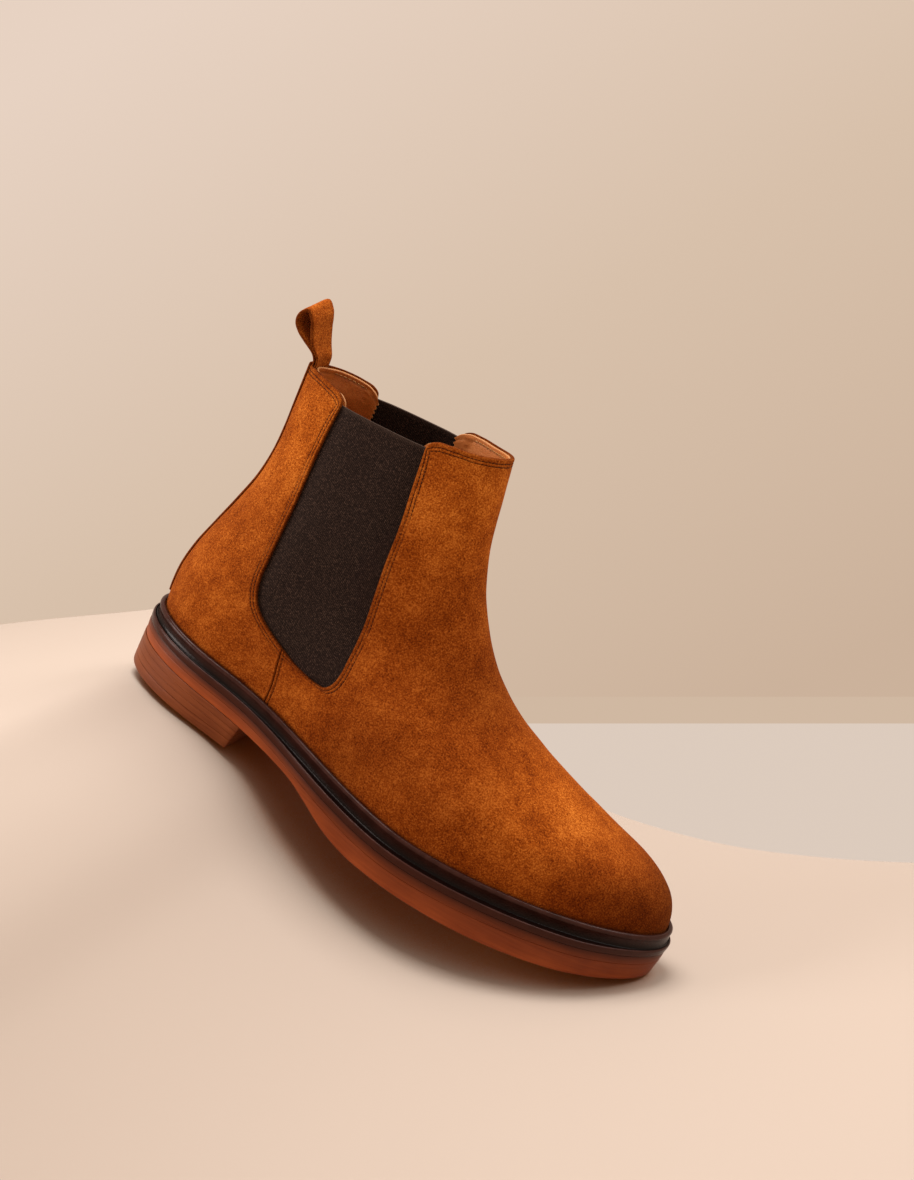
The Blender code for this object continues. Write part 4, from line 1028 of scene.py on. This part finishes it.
def heel_ring(share, inset_by):
    """The heel's outline at a share of its height, cut across at its breast, with softened corners."""
    x, y = plan(TURNS, WELT_HEEL - 1.35 + 0.75 * share - inset_by).T
    half = len(TURNS)
    breast = BREAST_X - BREAST_LEAN * (1 - share) - inset_by
    back = plan(TURNS, WELT_HEEL)[:, 0] < BREAST_X - BREAST_LEAN - 2.5
    low, high = np.interp(breast, x[:half], y[:half]), np.interp(breast, x[half:][::-1], y[half:][::-1])
    turned = ((0.8, 0), (0.2, 0.35), (0, 1.1))
    corner = [(breast - away, low + along) for away, along in turned]
    across = [(breast, y) for y in np.linspace(low + 2.5, high - 2.5, 9)]
    other = [(breast - away, high - along) for away, along in turned[::-1]]
    ring = np.stack([x, y], -1)
    return np.vstack([ring[:half][back[:half]], corner, across, other, ring[half:][back[half:]]])


def heel_level(share):
    return lambda x: TOP_PIECE + (tread(x) - 0.06 - TOP_PIECE) * share


def fan_layer(name, low, high, shares, replaced, soft, shades):
    """A layer of the heel: rings round it, closed by a fan below and above."""
    rows = ((soft + 0.15, 0.0), (soft * 0.3, 0.03), (0, 0.16), (0, 0.5), (0, 0.84), (soft * 0.3, 0.97),
            (soft + 0.15, 1.0))
    rings, values = layer_rings(lambda inset_by, share: heel_ring(
        shares[0] + (shares[1] - shares[0]) * share, inset_by), low, high, rows, shades)
    count = len(rings[0])
    points = np.vstack(rings + [ring.mean(axis=0) for ring in (rings[0], rings[-1])])
    numbers = np.arange(len(rings) * count).reshape(len(rings), count)
    numbers = np.hstack([numbers, numbers[:, :1]])
    faces = list(grid_faces(numbers))
    for ring, centre in ((numbers[0, ::-1], len(points) - 2), (numbers[-1], len(points) - 1)):
        faces += [(ring[k], ring[k + 1], centre) for k in range(count)]
    shade = np.r_[np.repeat(values, count), values[0], values[-1]]
    made = make_object(name, points, faces, HEEL_FINISH, {"shade": shade}, crisp=True)
    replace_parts(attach(made, "boot"), replaced)


def make_heel():
    fan_layer("heel_top_piece_edge", lambda x: 0 * x, lambda x: 0 * x + TOP_PIECE - 0.05, (0, 0.3),
              "heel_top_piece", 0.25, (0.12, 0.0))
    for k in range(LIFTS):
        low, high = k / LIFTS, (k + 1) / LIFTS
        fan_layer(f"heel_lift_edge_{k + 1}", heel_level(low), heel_level(high),
                  (0.3 + 0.7 * low, 0.3 + 0.7 * high), f"heel_lift_{k + 1}", 0.03, (0.02, 0.02))


# ---- set, light and camera

CAMERA_TURNS = np.radians((13.103, 19.675, 28.935))
CAMERA_PLACE = (318.08, -798.3, 415.82)
LENS, SENSOR = 55.88, 36.0
# The boot leans toe down against a curved sheet: the room's level and upright directions in its frame.
LEAN = np.radians(29.19)
AHEAD = np.array((np.cos(LEAN), 0, np.sin(LEAN)))
UPRIGHT = np.array((-np.sin(LEAN), 0, np.cos(LEAN)))
SHEET_PROFILE = ((-900, -210), (-600, -135), (-400, -84), (-229, -47), (-107, -27), (-60, -18), (-20, -11),
                 (5, -9.5), (30, -20.5), (58, -36), (72, -47), (100, -80), (141, -109), (182, -127),
                 (225, -137), (265, -142), (320, -142.5), (400, -137), (600, -130), (900, -128))
SHEET_NEAR, SHEET_FAR = -1100.0, 214.0
FLOOR_LEVEL, FLOOR_NEAR, WALL_AWAY, WALL_TOP, SKIRTING, WIDE = -175.0, 300.0, 1422.0, 2000.0, 22.0, 2500.0
# The wall's painted shade in front of the camera at its own level, and its change per millimetre across and
# up.
FADE, FADE_ACROSS, FADE_UP = 0.63, 0.0007, -0.00126
# Each light's place from the boot's middle: to the right, nearer the camera, and up. Then its watts.
LIGHTS = (("overhead", (0, 0, 1400), 23.5), ("right", (900, 0, 900), 9), ("left", (-1300, 300, 500), 15))
LIGHT_AIM, LIGHT_SIZE = (150, 0, 80), 0.8
WORLD_COLOUR, WORLD_STRENGTH = (0.82, 0.70, 0.60, 1), 0.85


def camera_axes():
    """The camera's right, up and back, as directions on the last."""
    azimuth, elevation, roll = CAMERA_TURNS
    right = np.array((np.cos(azimuth), np.sin(azimuth), 0))
    level = np.array((np.sin(azimuth), -np.cos(azimuth), 0))
    back = level * np.cos(elevation) + np.array((0, 0, np.sin(elevation)))
    up = np.cross(back, right)
    return np.cos(roll) * right + np.sin(roll) * up, np.cos(roll) * up - np.sin(roll) * right, back


def put(thing, spot, right, up, back):
    """Places a camera or light at a spot on the last, with its own axes."""
    matrix = Matrix.Identity(4)
    for column, axis in enumerate((right, up, back)):
        for row in range(3):
            matrix[row][column] = axis[row]
    for row, value in enumerate(place(spot)):
        matrix[row][3] = value
    thing.matrix_world = matrix
    bpy.context.scene.collection.objects.link(thing)


def make_camera():
    data = bpy.data.cameras.new("camera")
    data.lens, data.sensor_width, data.sensor_fit = LENS, SENSOR, "AUTO"
    data.clip_start, data.clip_end = 0.05, 20
    camera = bpy.data.objects.new("camera", data)
    put(camera, CAMERA_PLACE, *camera_axes())
    bpy.context.scene.camera = camera


def room(ahead, across, up):
    """A point on the last from distances in the room: level along the boots, across them, and upright."""
    return ahead * AHEAD + across * np.array((0, 1.0, 0)) + up * UPRIGHT


def camera_forward():
    """The room's level direction that the camera faces."""
    back = camera_axes()[2]
    forward = back @ UPRIGHT * UPRIGHT - back
    return forward / np.linalg.norm(forward)


def make_set():
    """A curved paper sheet under the boot, with a pale floor and a wall with a skirting behind."""
    profile = path(SHEET_PROFILE)(np.linspace(0, 1, 260))
    points = np.array([[room(s, y, h) for y in np.linspace(SHEET_NEAR, SHEET_FAR, 40)] for s, h in profile])
    numbers = np.arange(len(points) * 40).reshape(-1, 40)
    sheet = make_object("backdrop_sheet", points.reshape(-1, 3), grid_faces(numbers), SHEET_FINISH)
    side, forward = camera_axes()[0], camera_forward()
    start = np.array(CAMERA_PLACE) - (np.array(CAMERA_PLACE) @ UPRIGHT) * UPRIGHT

    def board(name, low, near, high, away, finish):
        """A board from a level and distance to another level and distance, with the wall's painted shades.
        """
        spots = ((-WIDE, low, near), (WIDE, low, near), (WIDE, high, away), (-WIDE, high, away))
        corners = [start + across * side + level * UPRIGHT + ahead * forward
                   for across, level, ahead in spots]
        shades = [FADE + FADE_ACROSS * across + FADE_UP * level for across, level, _ in spots]
        return make_object(name, corners, [(0, 1, 2, 3)], finish, {"shade": shades})

    floor = board("backdrop_floor", FLOOR_LEVEL, FLOOR_NEAR, FLOOR_LEVEL, WALL_AWAY, FLOOR_FINISH)
    behind = board("backdrop_wall", FLOOR_LEVEL, WALL_AWAY, WALL_TOP, WALL_AWAY, WALL_FINISH)
    skirting = board("backdrop_skirting", FLOOR_LEVEL, WALL_AWAY - 4, FLOOR_LEVEL + SKIRTING,
                     WALL_AWAY - 4, SKIRTING_FINISH)


def make_lights():
    side, forward = camera_axes()[0], camera_forward()
    for name, (across, nearer, up), power in LIGHTS:
        data = bpy.data.lights.new(name, "AREA")
        data.shape, data.size, data.energy = "DISK", LIGHT_SIZE, power
        reach = across * side - nearer * forward + up * UPRIGHT
        back = reach / np.linalg.norm(reach)
        right = np.cross(AHEAD, back)
        right /= np.linalg.norm(right)
        put(bpy.data.objects.new(name, data), LIGHT_AIM + reach, right, np.cross(back, right), back)
    world = bpy.data.worlds.new("surroundings")
    world.use_nodes = True
    shade = world.node_tree.nodes["Background"]
    shade.inputs["Color"].default_value = WORLD_COLOUR
    shade.inputs["Strength"].default_value = WORLD_STRENGTH
    bpy.context.scene.world = world
    bpy.context.scene.view_settings.view_transform = "Standard"


# ---- putting it together

SUEDE_FINISH = suede("suede_tan", (0.074, 0.0092, 0.0006), (0.196, 0.0355, 0.0026), (0.36, 0.092, 0.011))
LINING_FINISH = smooth_leather("lining_tan", (0.30, 0.062, 0.008), (0.48, 0.13, 0.022), 0.42)
FRONT_LINING_FINISH = smooth_leather("lining_pale", (0.38, 0.10, 0.018), (0.52, 0.17, 0.042), 0.5)
GORE_FINISH = elastic("gore_dark_brown")
THREAD_FINISH = thread("thread_brown", (0.026, 0.0042, 0.0009))
LINING_THREAD_FINISH = thread("thread_pale", (0.34, 0.17, 0.06))
WELT_FINISH = dark_welt("welt_dark")
SOLE_FINISH = polished_edge("sole_edge", (0.182, 0.0310, 0.0062), (0.308, 0.0610, 0.0130), 0.5)
HEEL_FINISH = polished_edge("heel_edge", (0.100, 0.0200, 0.0047), (0.186, 0.0440, 0.0105), 0.6)
SHEET_FINISH = paper("sheet_paper", (0.405, 0.325, 0.268))
FLOOR_FINISH = glow("floor_pale", (0.72, 0.60, 0.51))
# The wall glows lighter to the left and higher up: painted light falling off across it.
WALL_FINISH = glow("wall_beige_painted_shade", (0.80, 0.645, 0.54), (0.685, 0.53, 0.405), (0.60, 0.445, 0.33))
SKIRTING_FINISH = glow("skirting_pale", (0.63, 0.48, 0.36))

make_panels()
make_back_strip()
make_gores()
make_stitches()
make_pull_loop()
make_welt()
make_soles()
make_heel()
make_set()
make_lights()
make_camera()
